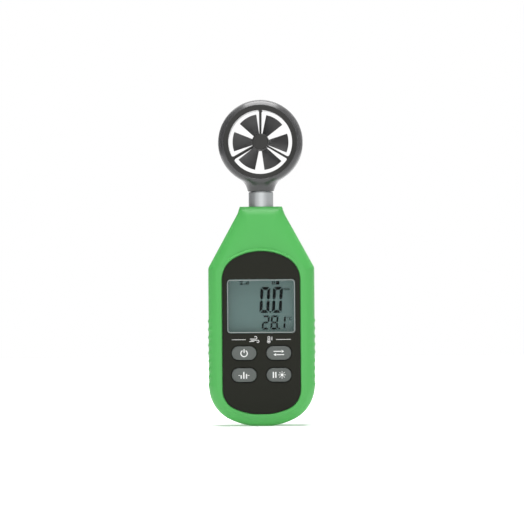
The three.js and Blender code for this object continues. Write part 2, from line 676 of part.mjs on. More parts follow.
function doorOutline(grow) {
  return roundedRectangle(0, DOOR_MIDDLE_Z, 2 * (DOOR_HALF_WIDTH + grow),
    DOOR_TOP - DOOR_BOTTOM + 2 * grow, DOOR_CORNER + grow);
}

/** Battery well and door ledge, before the pockets are cut. */
function wellBody() {
  const outer = DOOR_HALF_WIDTH + WELL_WALL + SLIP;
  const roof = WELL_TOP + WELL_WALL;
  const well = block(-outer, outer, WELL_FRONT, BACK - WALL / 2, WELL_FOOT - WELL_WALL, roof);
  const ledge = block(-outer, outer, WELL_RIM - WELL_WALL, BACK - WALL / 2, roof - WELL_WALL,
    DOOR_TOP + WELL_WALL);
  const boss = pinAlongY(0, DOOR_SCREW_Z, BOSS_RADIUS, WELL_INNER, WELL_RIM - WELL_WALL / 2);
  return join(well, ledge, boss);
}

function rearShell() {
  const form = rearForm();
  const stops = postRows.flatMap((z) => [-postX, postX].map((x) =>
    pinAlongY(x, z, POST_RADIUS, BOARD_BACK + SEAT, BACK - WALL, 8)));
  const bosses = screwSpots.map(([x, z]) =>
    pinAlongY(x, z, BOSS_RADIUS, SEAM_Y + SEAM / 2, BACK - WALL));
  const housed = join(cut(form, core(1, WALL)), ...stops, ...bosses, neckSaddles(1), ...gripRibs(1),
    wellBody());
  const doorRecess = plate(doorOutline(SLIP), WELL_RIM, BACK + WALL);
  const pocket = block(-WELL_HALF_WIDTH, WELL_HALF_WIDTH, WELL_INNER, BACK, WELL_FOOT, WELL_TOP);
  const tabSlots = tabSpots.map((x) => block(x - DOOR_TAB_WIDTH / 2 - SLIP,
    x + DOOR_TAB_WIDTH / 2 + SLIP, DOOR_INNER - DOOR_TAB_THICKNESS - SEAT - 2 * SLIP, DOOR_INNER,
    DOOR_BOTTOM - DOOR_TAB_REACH - SLIP, WELL_FOOT + SLIP));
  const doorScrewHole = pinAlongY(0, DOOR_SCREW_Z, SCREW_RADIUS + 0.5, DOOR_INNER - DOOR_SCREW_LENGTH,
    BACK, 12);
  const wells = screwSpots.flatMap(([x, z]) => [
    pinAlongY(x, z, SCREW_RADIUS + SLIP, SEAM_Y, BACK, 8),
    pinAlongY(x, z, SCREW_HEAD_RADIUS + SLIP, BACK - SCREW_SINK - SCREW_HEAD_HEIGHT, BACK + 1, 16),
  ]);
  return cut(housed, doorRecess, pocket, ...tabSlots, doorScrewHole, ...wells, neckBore());
}

// ---- Face ------------------------------------------------------------------------------------------

/** Obround outline of a key, grown by a margin. */
function keyOutline(x, z, grow) {
  const radius = KEY_HEIGHT / 2 + grow;
  const straight = (KEY_WIDTH - KEY_HEIGHT) / 2;
  const shape = new THREE.Shape();
  shape.absarc(x + straight, z, radius, -Math.PI / 2, Math.PI / 2);
  shape.absarc(x - straight, z, radius, Math.PI / 2, 1.5 * Math.PI);
  return shape;
}

function facePanel() {
  const window = roundedRectangle(0, WINDOW_Z, WINDOW_WIDTH + 2 * SEAT, WINDOW_HEIGHT + 2 * SEAT,
    WINDOW_CORNER);
  const holes = keySpots.map(([, x, z]) => plate(keyOutline(x, z, SLIP), FRONT - 1, RECESS_Y));
  return cut(plate(panelOutline(0), PANEL_FRONT, PANEL_BACK),
    plate(window, FRONT - 1, RECESS_Y), ...holes);
}

function displayWindow() {
  const lens = plate(roundedRectangle(0, WINDOW_Z, WINDOW_WIDTH, WINDOW_HEIGHT, WINDOW_CORNER),
    PANEL_FRONT, RECESS_Y + WINDOW_FLANGE_THICKNESS, 0.3);
  const flange = plate(roundedRectangle(0, WINDOW_Z, WINDOW_WIDTH + 2 * WINDOW_FLANGE,
    WINDOW_HEIGHT + 2 * WINDOW_FLANGE, WINDOW_CORNER), RECESS_Y, RECESS_Y + WINDOW_FLANGE_THICKNESS);
  return join(lens, flange);
}

const LCD_HALF_WIDTH = WINDOW_WIDTH / 2 + LCD_BORDER;
const LCD_TOP = WINDOW_BOTTOM + WINDOW_HEIGHT + LCD_BORDER;
const LCD_BOTTOM = WINDOW_BOTTOM - LCD_BORDER;

function lcdGlass() {
  return block(-LCD_HALF_WIDTH, LCD_HALF_WIDTH, LCD_FRONT, LCD_BACK, LCD_BOTTOM, LCD_TOP);
}

function backlight() {
  return block(-LCD_HALF_WIDTH, LCD_HALF_WIDTH, LIGHT_FRONT, LIGHT_BACK, LCD_BOTTOM + LCD_LEDGE, LCD_TOP);
}

function zebraStrip() {
  const middle = LCD_BOTTOM + LCD_LEDGE / 2;
  return block(-LCD_HALF_WIDTH + 1, LCD_HALF_WIDTH - 1, LIGHT_FRONT, BOARD_FRONT - SEAT,
    middle - ZEBRA_WIDTH / 2, middle + ZEBRA_WIDTH / 2);
}

function lcdHolder() {
  const inner = SLIP;
  const outer = SLIP + HOLDER_WALL;
  return cut(
    block(-LCD_HALF_WIDTH - outer, LCD_HALF_WIDTH + outer, LCD_FRONT, BOARD_FRONT - SEAT,
      LCD_BOTTOM - outer, LCD_TOP + outer),
    block(-LCD_HALF_WIDTH - inner, LCD_HALF_WIDTH + inner, LCD_FRONT - 1, BOARD_FRONT,
      LCD_BOTTOM - inner, LCD_TOP + inner),
  );
}

function mainBoard() {
  const outline = housingOutline(WALL + SLIP + 0.4);
  const board = loft([BOARD_FRONT, BOARD_BACK].map((y) =>
    outline.map((p) => new THREE.Vector3(p.x, y, p.y))));
  const lowest = LOWER_SCREW_Z + BOSS_RADIUS + SLIP;
  const highest = UPPER_SCREW_Z - BOSS_RADIUS - SLIP;
  return board.intersect(block(-FLANK, FLANK, BOARD_FRONT, BOARD_BACK, lowest, highest));
}

const LEAD_END_Z = UPPER_SCREW_Z - BOSS_RADIUS - CONNECTOR_DROP;

function controllerChip() {
  return plate(roundedRectangle(0, WINDOW_Z, CHIP_WIDTH, CHIP_WIDTH, CHIP_CORNER),
    CHIP_FRONT, CHIP_FRONT + CHIP_THICKNESS, 0.15);
}

function crystalCan() {
  const x = CHIP_WIDTH / 2 + CRYSTAL_GAP + CRYSTAL_WIDTH / 2;
  return plate(roundedRectangle(x, WINDOW_Z, CRYSTAL_WIDTH, CRYSTAL_HEIGHT, 0.96 * CRYSTAL_WIDTH / 2),
    CHIP_FRONT, CHIP_FRONT + CHIP_THICKNESS, 0.15);
}

function keypadMat() {
  const z = (LOWER_KEY_Z + UPPER_KEY_Z) / 2;
  return plate(roundedRectangle(0, z, 2 * KEY_COLUMN + KEY_WIDTH + 4, KEY_PITCH + KEY_HEIGHT + 3, 2),
    BOARD_FRONT - SEAT - MAT_THICKNESS, BOARD_FRONT - SEAT);
}

/** A key about its own centre, crowned cap in front and retaining flange behind the floor. */
function key() {
  const top = FRONT - KEY_PROUD;
  const flange = FLOOR_BACK + SEAT;
  const foot = BOARD_FRONT - SEAT - MAT_THICKNESS - SEAT - KEY_TRAVEL;
  return join(
    plate(keyOutline(0, 0, 0), top, flange + KEY_FLANGE_THICKNESS, 0.35),
    plate(keyOutline(0, 0, KEY_FLANGE), flange, flange + KEY_FLANGE_THICKNESS),
    pinAlongY(0, 0, KEY_HEIGHT / 2 - 0.8, flange, foot, 16),
  );
}

// ---- Battery parts ---------------------------------------------------------------------------------

/** One cell, standing on z = 0 with its positive end up. */
function cell() {
  const r = CELL_DIAMETER / 2;
  const cap = 1.1;
  const nub = 1.9;
  return turnedAlongZ([[0, 0], [r - 0.4, 0], [r, 0.4], [r, CELL_LENGTH - cap - 0.4],
    [r - 0.4, CELL_LENGTH - cap], [nub, CELL_LENGTH - cap], [nub, CELL_LENGTH], [0, CELL_LENGTH]], 24);
}

/** Conical contact spring, standing on z = 0, wide end down. */
function contactSpring() {
  const [wide, narrow] = [3.4, 2.2];
  const rise = SPRING_LENGTH - 2 * SPRING_WIRE;
  const steps = 7;
  const points = Array.from({ length: SPRING_TURNS * steps + 1 }, (_, i) => {
    const share = i / (SPRING_TURNS * steps);
    const angle = 2 * Math.PI * i / steps;
    const radius = wide + (narrow - wide) * share;
    return new THREE.Vector3(radius * Math.cos(angle), radius * Math.sin(angle),
      SPRING_WIRE + rise * share);
  });
  const section = new THREE.Shape();
  section.absarc(0, 0, SPRING_WIRE / 2, 0, 2 * Math.PI);
  return solid(new THREE.ExtrudeGeometry(section, {
    steps: points.length - 1,
    curveSegments: ARC_STEPS,
    bevelEnabled: false,
    extrudePath: new THREE.CatmullRomCurve3(points),
  }));
}

/** Flat contact plate, standing on z = 0. */
function contactPlate() {
  return block(-3.6, 3.6, -3.6, 3.6, 0, PLATE_THICKNESS);
}

function batteryDoor() {
  const tabs = tabSpots.flatMap((x) => {
    const [x0, x1] = [x - DOOR_TAB_WIDTH / 2, x + DOOR_TAB_WIDTH / 2];
    const y0 = DOOR_INNER - SEAT - DOOR_TAB_THICKNESS;
    return [
      block(x0, x1, y0, DOOR_INNER + 0.5, DOOR_BOTTOM, WELL_FOOT - 0.4),
      block(x0, x1, y0, DOOR_INNER - SEAT, DOOR_BOTTOM - DOOR_TAB_REACH, DOOR_BOTTOM + 0.5),
    ];
  });
  const screwSeat = BACK - SCREW_HEAD_HEIGHT + 0.4;
  return cut(join(plate(doorOutline(0), DOOR_INNER, BACK, 0.3), ...tabs),
    pinAlongY(0, DOOR_SCREW_Z, SCREW_HEAD_RADIUS + SLIP, screwSeat, BACK + 1, 20),
    pinAlongY(0, DOOR_SCREW_Z, SCREW_RADIUS + SLIP, DOOR_INNER - 1, BACK, 12));
}

/** Screw with its head's underside at y = 0 and its head towards the back. */
function screw(headHeight, length) {
  return turnedAlongY([[0, -length], [SCREW_RADIUS - 0.3, -length], [SCREW_RADIUS, 0.6 - length],
    [SCREW_RADIUS, 0], [SCREW_HEAD_RADIUS, 0], [SCREW_HEAD_RADIUS, 0.5 * headHeight],
    [0.6 * SCREW_HEAD_RADIUS, headHeight], [0, headHeight]], 12);
}

// ---- Neck ------------------------------------------------------------------------------------------

function neckTube() {
  const shoulder = HOUSING_TOP + TUBE_SHOWN;
  return turnedAlongZ([
    [TUBE_BORE, TUBE_BOTTOM], [TUBE_RADIUS, TUBE_BOTTOM], [TUBE_RADIUS, TUBE_FLANGE_BOTTOM],
    [TUBE_FLANGE_RADIUS, TUBE_FLANGE_BOTTOM], [TUBE_FLANGE_RADIUS, TUBE_FLANGE_TOP],
    [TUBE_RADIUS, TUBE_FLANGE_TOP], [TUBE_RADIUS, shoulder], [SPIGOT_RADIUS, shoulder],
    [SPIGOT_RADIUS, TUBE_TOP], [TUBE_BORE, TUBE_TOP], [TUBE_BORE, TUBE_BOTTOM],
  ], 28);
}

const BOARD_REST = TUBE_TOP + SEAT; // underside of the pickup board

/** The lead inside the tube, from the pickup board to its connector on the main board. */
function sensorLead() {
  const plugY = CHIP_FRONT + LEAD_RADIUS;
  const points = [
    [0, BOARD_REST - SEAT - 0.05], [0, HOUSING_TOP + TUBE_SHOWN / 2], [0, TUBE_FLANGE_TOP],
    [0, TUBE_BOTTOM + SADDLE_THICKNESS], [0, TUBE_BOTTOM - SADDLE_THICKNESS],
    [plugY, LEAD_END_Z + LEAD_SWEEP], [plugY, LEAD_END_Z + LEAD_SWEEP / 2], [plugY, LEAD_END_Z + SEAT],
  ];
  const section = new THREE.Shape();
  section.absarc(0, 0, LEAD_RADIUS, 0, 2 * Math.PI);
  return solid(new THREE.ExtrudeGeometry(section, {
    steps: 20,
    curveSegments: ARC_STEPS,
    bevelEnabled: false,
    extrudePath: new THREE.CatmullRomCurve3(points.map(([y, z]) => new THREE.Vector3(0, y, z))),
  }));
}

function leadConnector() {
  return block(-CONNECTOR_WIDTH / 2, CONNECTOR_WIDTH / 2, CHIP_FRONT, CHIP_FRONT + 2 * LEAD_RADIUS,
    LEAD_END_Z - CONNECTOR_HEIGHT, LEAD_END_Z);
}

// ---- Head, about the centre of the flow ------------------------------------------------------------

function headRing() {
  const mouth = GUARD_RIM_RADIUS + SEAT;
  const lip = arc(0, 0, 1, Math.PI / 2, 0, 5).map((p) => [
    LIP_RADIUS + (HEAD_RADIUS - LIP_RADIUS) * p.x,
    HEAD_HALF_DEPTH - LIP_DEPTH * (1 - p.y),
  ]);
  const rear = [[FLOW_RADIUS, GUARD_SEAT], [mouth, GUARD_SEAT], [mouth, HEAD_HALF_DEPTH - 0.35], ...lip];
  const front = rear.map(([radius, y]) => [radius, -y]).reverse();
  const ring = turnedAlongY([...rear, ...front, rear[0]], RING_FACETS);
  const ringFoot = -HEAD_RADIUS;
  const socketEnd = ringFoot - SOCKET_LENGTH;
  const socket = turnedAlongZ([
    [0, socketEnd], [SOCKET_END_RADIUS - 0.4, socketEnd], [SOCKET_END_RADIUS, socketEnd + 0.4],
    [SOCKET_TOP_RADIUS, ringFoot + 1.4], [SOCKET_TOP_RADIUS, ringFoot + SOCKET_OVERLAP],
    [0, ringFoot + SOCKET_OVERLAP],
  ], 36);
  const cavityTop = BOARD_REST + PICKUP_BOARD_THICKNESS + SEAT + PICKUP_HEIGHT + SEAT - HEAD_Z;
  const cavity = turnedAlongZ([[0, socketEnd - 1], [SPIGOT_RADIUS + SEAT, socketEnd - 1],
    [SPIGOT_RADIUS + SEAT, cavityTop], [0, cavityTop]], 28);
  const slot = PICKUP_WIDTH / 2 + SLIP;
  const sight = block(-slot, slot, -slot, slot, cavityTop - 1, 1 - FLOW_RADIUS);
  return cut(join(ring, socket), cavity, sight);
}

/** The outline of the flow opening between two guard arms. */
function guardOpening(armAngle) {
  const at = (radius, angle) => new THREE.Vector2(radius * Math.cos(angle), radius * Math.sin(angle));
  const pitch = 2 * Math.PI / ARM_COUNT;
  const rimOffset = Math.asin(ARM_RIM_WIDTH / 2 / FLOW_RADIUS);
  const hubOffset = Math.asin(ARM_HUB_WIDTH / 2 / BOSS_CAP_RADIUS);
  const [a, b] = [armAngle + rimOffset, armAngle + pitch - rimOffset];
  const [c, d] = [armAngle + pitch - hubOffset, armAngle + hubOffset];
  const filletTurn = ARM_FILLET / FLOW_RADIUS;
  const rim = arc(0, 0, FLOW_RADIUS, a + filletTurn, b - filletTurn, 12);
  const hub = arc(0, 0, BOSS_CAP_RADIUS, c, d, 4);
  const firstCorner = bend(hub.at(-1), at(FLOW_RADIUS, a), rim[0], ARM_FILLET, 3);
  const lastCorner = bend(rim.at(-1), at(FLOW_RADIUS, b), hub[0], ARM_FILLET, 3);
  return new THREE.Path([...firstCorner, ...rim.slice(1, -1), ...lastCorner, ...hub]);
}

/** Guard facing +Y: dished rim, three arms and the cap that holds a bearing. */
function guard() {
  const inner = GUARD_FACE - GUARD_THICKNESS;
  const disc = turnedAlongY([
    [0, inner], [GUARD_RIM_RADIUS, inner], [GUARD_RIM_RADIUS, GUARD_FACE],
    [FLOW_RADIUS, GUARD_FACE - GUARD_FUNNEL], [BOSS_CAP_RADIUS, GUARD_FACE - 0.3],
    [BOSS_CAP_RADIUS - 0.4, GUARD_FACE], [0, GUARD_FACE],
  ], RING_FACETS);
  const openings = Array.from({ length: ARM_COUNT }, (_, i) => {
    const outline = guardOpening(Math.PI / 2 + i * 2 * Math.PI / ARM_COUNT);
    return plate(new THREE.Shape(outline.getPoints()), inner - 1, GUARD_FACE + 1);
  });
  const cap = pinAlongY(0, 0, BOSS_CAP_RADIUS, BOSS_CAP_INNER, inner + 0.5, RING_FACETS / 2);
  const pocket = pinAlongY(0, 0, BEARING_RADIUS + SEAT, BOSS_CAP_INNER - 1,
    BOSS_CAP_INNER + BEARING_LENGTH + SEAT, 16);
  const shaftRoom = pinAlongY(0, 0, SHAFT_RADIUS + SEAT, BOSS_CAP_INNER, GUARD_FACE - 0.9, 14);
  return cut(join(cut(disc, ...openings), cap), pocket, shaftRoom);
}

/** Bearing bush facing +Y, seated in a guard's cap. */
function bearing() {
  const [r, bore] = [BEARING_RADIUS, SHAFT_RADIUS + SHAFT_PLAY];
  const [y0, y1] = [BOSS_CAP_INNER, BOSS_CAP_INNER + BEARING_LENGTH];
  return turnedAlongY([[bore, y0], [r, y0], [r, y1], [bore, y1], [bore, y0]], 16);
}

/** One blade about the flow axis: a stretch of helix between two radial edges. */
function blade(middle) {
  const [radialSteps, turnSteps] = [3, 6];
  const root = HUB_RADIUS - 1;
  const half = radians(BLADE_SPAN / 2);
  const at = (i, j, face) => {
    const radius = root + (BLADE_TIP_RADIUS - root) * i / radialSteps;
    const share = 2 * j / turnSteps - 1;
    const angle = middle + half * share;
    const swell = BLADE_THICKNESS / 2 * (1 - 0.35 * share * share);
    const y = (BLADE_DEPTH - BLADE_THICKNESS) / 2 * share + face * swell;
    return new THREE.Vector3(radius * Math.cos(angle), y, radius * Math.sin(angle));
  };
  const rings = [];
  for (let j = 0; j <= turnSteps; j += 1) {
    const front = Array.from({ length: radialSteps + 1 }, (_, i) => at(i, j, -1));
    const rear = Array.from({ length: radialSteps + 1 }, (_, i) => at(radialSteps - i, j, 1));
    rings.push([...front, ...rear]);
  }
  return bladeSkin(rings);
}

/** Skin over blade sections, whose end caps are strips of quads. */
function bladeSkin(rings) {
  const positions = [];
  const push = (...corners) => corners.forEach((p) => positions.push(p.x, p.y, p.z));
  const count = rings[0].length;
  for (let r = 0; r + 1 < rings.length; r += 1) {
    for (let i = 0; i < count; i += 1) {
      const j = (i + 1) % count;
      push(rings[r][i], rings[r][j], rings[r + 1][j], rings[r][i], rings[r + 1][j], rings[r + 1][i]);
    }
  }
  for (let i = 0; i + 1 < count / 2; i += 1) {
    const [near, far] = [count - 1 - i, count - 2 - i];
    const [first, last] = [rings[0], rings.at(-1)];
    push(first[i], first[far], first[i + 1], first[i], first[near], first[far]);
    push(last[i], last[i + 1], last[far], last[i], last[far], last[near]);
  }
  const geometry = new THREE.BufferGeometry();
  geometry.setAttribute('position', new THREE.Float32BufferAttribute(positions, 3));
  return solid(geometry);
}

function impeller() {
  const chamfer = 0.6;
  const hub = turnedAlongY([[0, -HUB_HALF_DEPTH], [HUB_RADIUS - chamfer, -HUB_HALF_DEPTH],
    [HUB_RADIUS, chamfer - HUB_HALF_DEPTH], [HUB_RADIUS, HUB_HALF_DEPTH - chamfer],
    [HUB_RADIUS - chamfer, HUB_HALF_DEPTH], [0, HUB_HALF_DEPTH]], 28);
  const blades = Array.from({ length: BLADE_COUNT }, (_, i) =>
    blade(radians(BLADE_FIRST + i * 360 / BLADE_COUNT)));
  return cut(join(hub, ...blades), pinAlongY(0, 0, SHAFT_RADIUS + SEAT, -GUARD_FACE, GUARD_FACE, 14));
}

function shaft() {
  const reach = GUARD_FACE - 0.9 - SEAT;
  return turnedAlongY([[0, -reach], [SHAFT_RADIUS, -reach], [SHAFT_RADIUS, reach], [0, reach]], 14);
}

function pickupBoard() {
  const z = BOARD_REST - HEAD_Z;
  return turnedAlongZ([[0, z], [SPIGOT_RADIUS, z], [SPIGOT_RADIUS, z + PICKUP_BOARD_THICKNESS],
    [0, z + PICKUP_BOARD_THICKNESS]], 20);
}

const PICKUP_Z = BOARD_REST + PICKUP_BOARD_THICKNESS + SEAT - HEAD_Z;

function pickupSensor() {
  const w = PICKUP_WIDTH / 2;
  return block(-w, w, -w, w, PICKUP_Z, PICKUP_Z + PICKUP_HEIGHT);
}

function temperatureBead() {
  return solid(new THREE.SphereGeometry(BEAD_RADIUS, 12, 8))
    .translate([PICKUP_WIDTH / 2 + SEAT + BEAD_RADIUS, 0, PICKUP_Z + BEAD_RADIUS]);
}

// ---- Assembly --------------------------------------------------------------------------------------

function headAssembly() {
  const head = new THREE.Group();
  head.position.z = HEAD_Z;
  const frontGuard = piece('front_guard', guard().mirror([0, 1, 0]), blackPlastic);
  const frontBearing = piece('front_bearing', bearing().mirror([0, 1, 0]), brass);
  head.add(
    piece('head_ring', headRing(), blackPlastic),
    frontGuard,
    piece('rear_guard', guard(), blackPlastic),
    frontBearing,
    piece('rear_bearing', bearing(), brass),
    piece('impeller', impeller(), blackPlastic),
    piece('impeller_shaft', shaft(), steel),
    piece('pickup_board', pickupBoard(), boardGreen),
    piece('pickup_sensor', pickupSensor(), chipBlack),
    piece('temperature_bead', temperatureBead(), chipBlack),
  );
  return head;
}

function batteryPack() {
  const pack = new THREE.Group();
  cellColumns.forEach((x, i) => {
    const isUp = i % 2 === 0;
    const spring = piece(`contact_spring_${i + 1}`, contactSpring(), steel);
    const plateMesh = piece(`contact_plate_${i + 1}`, contactPlate(), steel);
    const body = piece(`battery_cell_${i + 1}`, cell(), cellJacket);
    const springEnd = SEAT + SPRING_LENGTH + SEAT;
    if (isUp) {
      spring.position.set(x, CELL_Y, WELL_FOOT + SEAT);
      body.position.set(x, CELL_Y, WELL_FOOT + springEnd);
      plateMesh.position.set(x, CELL_Y, WELL_TOP - SEAT - PLATE_THICKNESS);
    } else {
      spring.position.set(x, CELL_Y, WELL_TOP - SEAT);
      spring.rotation.x = Math.PI;
      body.position.set(x, CELL_Y, WELL_TOP - springEnd);
      body.rotation.x = Math.PI;
      plateMesh.position.set(x, CELL_Y, WELL_FOOT + SEAT);
    }
    pack.add(spring, body, plateMesh);
  });
  return pack;
}

function fasteners() {
  const group = new THREE.Group();
  screwSpots.forEach(([x, z], i) => {
    const mesh = piece(`case_screw_${i + 1}`, screw(SCREW_HEAD_HEIGHT, SCREW_LENGTH), steel);
    mesh.position.set(x, BACK - SCREW_SINK - SCREW_HEAD_HEIGHT + SEAT, z);
    group.add(mesh);
  });
  const doorScrew = piece('door_screw', screw(SCREW_HEAD_HEIGHT - 0.9, DOOR_SCREW_LENGTH - 1), steel);
  doorScrew.position.set(0, BACK - SCREW_HEAD_HEIGHT + 0.4 + SEAT, DOOR_SCREW_Z);
  group.add(doorScrew);
  return group;
}

function keys() {
  const group = new THREE.Group();
  for (const [name, x, z] of keySpots) {
    const mesh = piece(name, key(), keyRubber);
    mesh.position.set(x, 0, z);
    group.add(mesh);
  }
  return group;
}

const meter = new THREE.Group();
meter.add(
  piece('front_shell', frontShell(), greenPlastic),
  piece('rear_shell', rearShell(), greenPlastic),
  piece('face_panel', facePanel(), panelPlastic),
  piece('display_window', displayWindow(), clearPlastic),
  piece('lcd_glass', lcdGlass(), displayGlass),
  piece('lcd_holder', lcdHolder(), whitePlastic),
  piece('backlight', backlight(), whitePlastic),
  piece('zebra_strip', zebraStrip(), zebraRubber),
  piece('main_board', mainBoard(), boardGreen),
  piece('controller_chip', controllerChip(), chipBlack),
  piece('crystal', crystalCan(), steel),
  piece('keypad_mat', keypadMat(), keyRubber),
  piece('battery_door', batteryDoor(), greenPlastic),
  piece('neck_tube', neckTube(), satinAluminium),
  piece('sensor_lead', sensorLead(), leadSheath),
  piece('lead_connector', leadConnector(), whitePlastic),
  keys(),
  batteryPack(),
  fasteners(),
  headAssembly(),
);

export default meter;
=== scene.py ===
# %% [markdown]
# # A pocket wind meter, dressed in Blender
#
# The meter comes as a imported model: rigid nodes grouped in bodies, each body with its joint. This lesson gives it
# its looks. Pieces whose outline shows facets are made again here with finer steps, on the same sizes, and stand
# for their nodes. All other nodes stay and only get a material. Lengths in the helpers are millimetres, because the
# object is pocket sized, and they are turned into metres where vertices are made.

# %% Load the frame
import json
from math import acos, asin, atan2, cos, hypot, pi, radians, sin, sqrt, tan

import bmesh
import bpy
from mathutils import Matrix, Vector


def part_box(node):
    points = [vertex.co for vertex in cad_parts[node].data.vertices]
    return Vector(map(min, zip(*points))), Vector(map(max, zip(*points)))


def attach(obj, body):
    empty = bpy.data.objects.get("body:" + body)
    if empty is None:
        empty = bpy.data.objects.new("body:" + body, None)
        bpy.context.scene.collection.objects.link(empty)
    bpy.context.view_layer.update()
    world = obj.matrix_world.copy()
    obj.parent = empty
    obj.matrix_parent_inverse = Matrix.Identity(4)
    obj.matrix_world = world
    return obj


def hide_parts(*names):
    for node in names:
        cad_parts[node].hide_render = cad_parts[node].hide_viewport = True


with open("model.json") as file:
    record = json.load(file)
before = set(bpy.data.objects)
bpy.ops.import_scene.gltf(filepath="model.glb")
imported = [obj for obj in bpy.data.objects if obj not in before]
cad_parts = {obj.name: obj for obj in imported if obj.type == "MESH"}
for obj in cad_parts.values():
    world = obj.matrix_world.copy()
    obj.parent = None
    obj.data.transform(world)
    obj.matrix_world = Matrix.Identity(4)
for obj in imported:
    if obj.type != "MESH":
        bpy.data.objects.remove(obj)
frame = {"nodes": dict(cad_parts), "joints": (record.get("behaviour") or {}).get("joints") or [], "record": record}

scene = bpy.context.scene
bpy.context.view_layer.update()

# %% [markdown]
# ## Sizes
#
# Places are read from the boxes of the nodes, so the looks follow the model if it changes. Only radii and small
# roundings, which a box can't tell, are written down. They repeat the values that the housing was drawn with.

# %% Sizes read from the nodes, in millimetres
MM = 0.001


def box_mm(node):
    """Lowest and highest corner of a node in millimetres."""
    low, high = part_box(node)
    return [1000 * value for value in low], [1000 * value for value in high]


def centre_mm(node):
    """Middle of a node's box in millimetres."""
    return [(a + b) / 2 for a, b in zip(*box_mm(node))]


front_low, front_high = box_mm("front_shell")
rear_high = box_mm("rear_shell")[1]
panel_low, panel_high = box_mm("face_panel")
lens_low, lens_high = box_mm("display_window")
tube_low, tube_high = box_mm("neck_tube")
ring_low, ring_high = box_mm("head_ring")
door_high = box_mm("battery_door")[1]

RIB_RELIEF = 0.3
FLANK = front_high[0] - RIB_RELIEF
HOUSING_TOP = front_high[2]
FRONT = front_low[1]
BACK = rear_high[1]
SEAM_Y = (FRONT + BACK) / 2
HALF_DEPTH = (BACK - FRONT) / 2
SEAM = 0.16
CLEARANCE = 0.25
print("housing", 2 * FLANK, "wide", HOUSING_TOP, "high", BACK - FRONT, "deep")

# %% Sizes of outlines and roundings
WALL = 2.0
EDGE_WIDTH, EDGE_DEPTH, EDGE_TURN = 4.1, 5.2, 65
CORNER_RADIUS, END_RADIUS, FOOT_HALF_WIDTH = 18, 35.5, 4.5
SHOULDER_Z = HOUSING_TOP - 29.6
SHOULDER_RADIUS = 4
COLLAR_HALF_WIDTH, COLLAR_HEIGHT, COLLAR_FLARE = 10.2, 3.4, 1.1
NECK_THINNING, CROWN, SLOPE_SPAN = 3.3, 0.8, 21.75
PANEL_TOP, PANEL_BOTTOM = panel_high[2], panel_low[2]
PANEL_HALF_WIDTH = panel_high[0]
PANEL_TOP_RADIUS, PANEL_TOP_CORNER = 26, 12
PANEL_END_RADIUS, PANEL_END_CORNER = 32, 10
FACE_CENTRE_Z = SHOULDER_Z / 2
RIB_COUNT, RIB_PITCH, RIB_FIRST = 9, 3.85, 20.0
HEAD_Z = 1000 * next(joint["pos_m"][2] for joint in frame["joints"] if joint["name"] == "impeller_spin")
HEAD_RADIUS = ring_high[2] - HEAD_Z
HEAD_HALF_DEPTH = ring_high[1]
FLOW_RADIUS = 15.5
print("panel", PANEL_BOTTOM, "to", PANEL_TOP, "head centre", HEAD_Z)

# %% [markdown]
# ## Camera
#
# Product shots of such a meter are taken from far away with a long lens, so that the face keeps its proportions.
# The camera stands level with the middle of the view, a little to the right, so the right flank's ribs show. It is
# rolled by a fraction of a degree, so that the meter leans a little.

# %% Place the camera
VIEW_WIDTH = 0.2551
LENS, SENSOR = 300, 36
YAW, ROLL = radians(1.2), radians(0.42)
aim = Vector((0.0003, 0, 0.0795))
camera_data = bpy.data.cameras.new("camera")
camera_data.lens = LENS
camera_data.sensor_width = SENSOR
camera_data.clip_end = 20
camera = bpy.data.objects.new("camera", camera_data)
scene.collection.objects.link(camera)
distance = VIEW_WIDTH * LENS / SENSOR
away = Vector((sin(YAW), -cos(YAW), 0))
camera.location = aim + distance * away
facing = (-away).to_track_quat("-Z", "Y")
camera.rotation_euler = (facing.to_matrix() @ Matrix.Rotation(-ROLL, 3, "Z")).to_euler()
scene.camera = camera
print("camera", round(distance, 3), "m away")

# %% [markdown]
# ## Trees of nodes
#
# The world, the floor and every material are small trees of nodes. Written out by hand, each node takes a line to
# make it and another for every value and link. One helper does all of that, so that a tree reads as a short list.

# %% Helpers for node trees
def wire(tree, node, links):
    """Link sockets to the named inputs of a node."""
    for label, socket in links.items():
        tree.links.new(socket, node.inputs[label])


def add_node(tree, kind, values=None, links=None, **settings):
    """A node with its settings made, its inputs filled in and other sockets linked to it."""
    node = tree.nodes.new(kind)
    for setting, value in settings.items():
        setattr(node, setting, value)
    for label, value in (values or {}).items():
        node.inputs[label].default_value = value
    wire(tree, node, links or {})
    return node


def higher_of(tree, first, second):
    """The larger of two sockets' values."""
    return add_node(tree, "ShaderNodeMath", links={0: first, 1: second}, operation="MAXIMUM").outputs[0]


def seen_straight(tree):
    """1 for rays of the camera, of reflections and through glass, 0 for the rays that carry light."""
    path = add_node(tree, "ShaderNodeLightPath").outputs
    reflected = higher_of(tree, path["Is Camera Ray"], path["Is Glossy Ray"])
    return higher_of(tree, reflected, path["Is Transmission Ray"])


# %% [markdown]
# ## Floor and light
#
# A white sweep would do, but a floor and a white world are simpler and look the same from every side. The world is
# white to the camera, in reflections and through glass. As a light it is dim, so that the three soft lamps give the
# forms their shape: a strong one above, a weaker one in front and one behind.

# %% World
AMBIENT = (0.23, 0.23, 0.235, 1)
WHITE = (1, 1, 1, 1)
world = bpy.data.worlds.new("studio")
world.use_nodes = True
scene.world = world
tree = world.node_tree
tree.nodes.clear()
shade = add_node(tree, "ShaderNodeMix", {"A": AMBIENT, "B": WHITE}, {"Factor": seen_straight(tree)},
                 data_type="RGBA")
background = add_node(tree, "ShaderNodeBackground", links={"Color": shade.outputs["Result"]})
add_node(tree, "ShaderNodeOutputWorld", links={"Surface": background.outputs[0]})
scene.view_settings.view_transform = "Standard"
print("world", len(tree.nodes), "nodes")

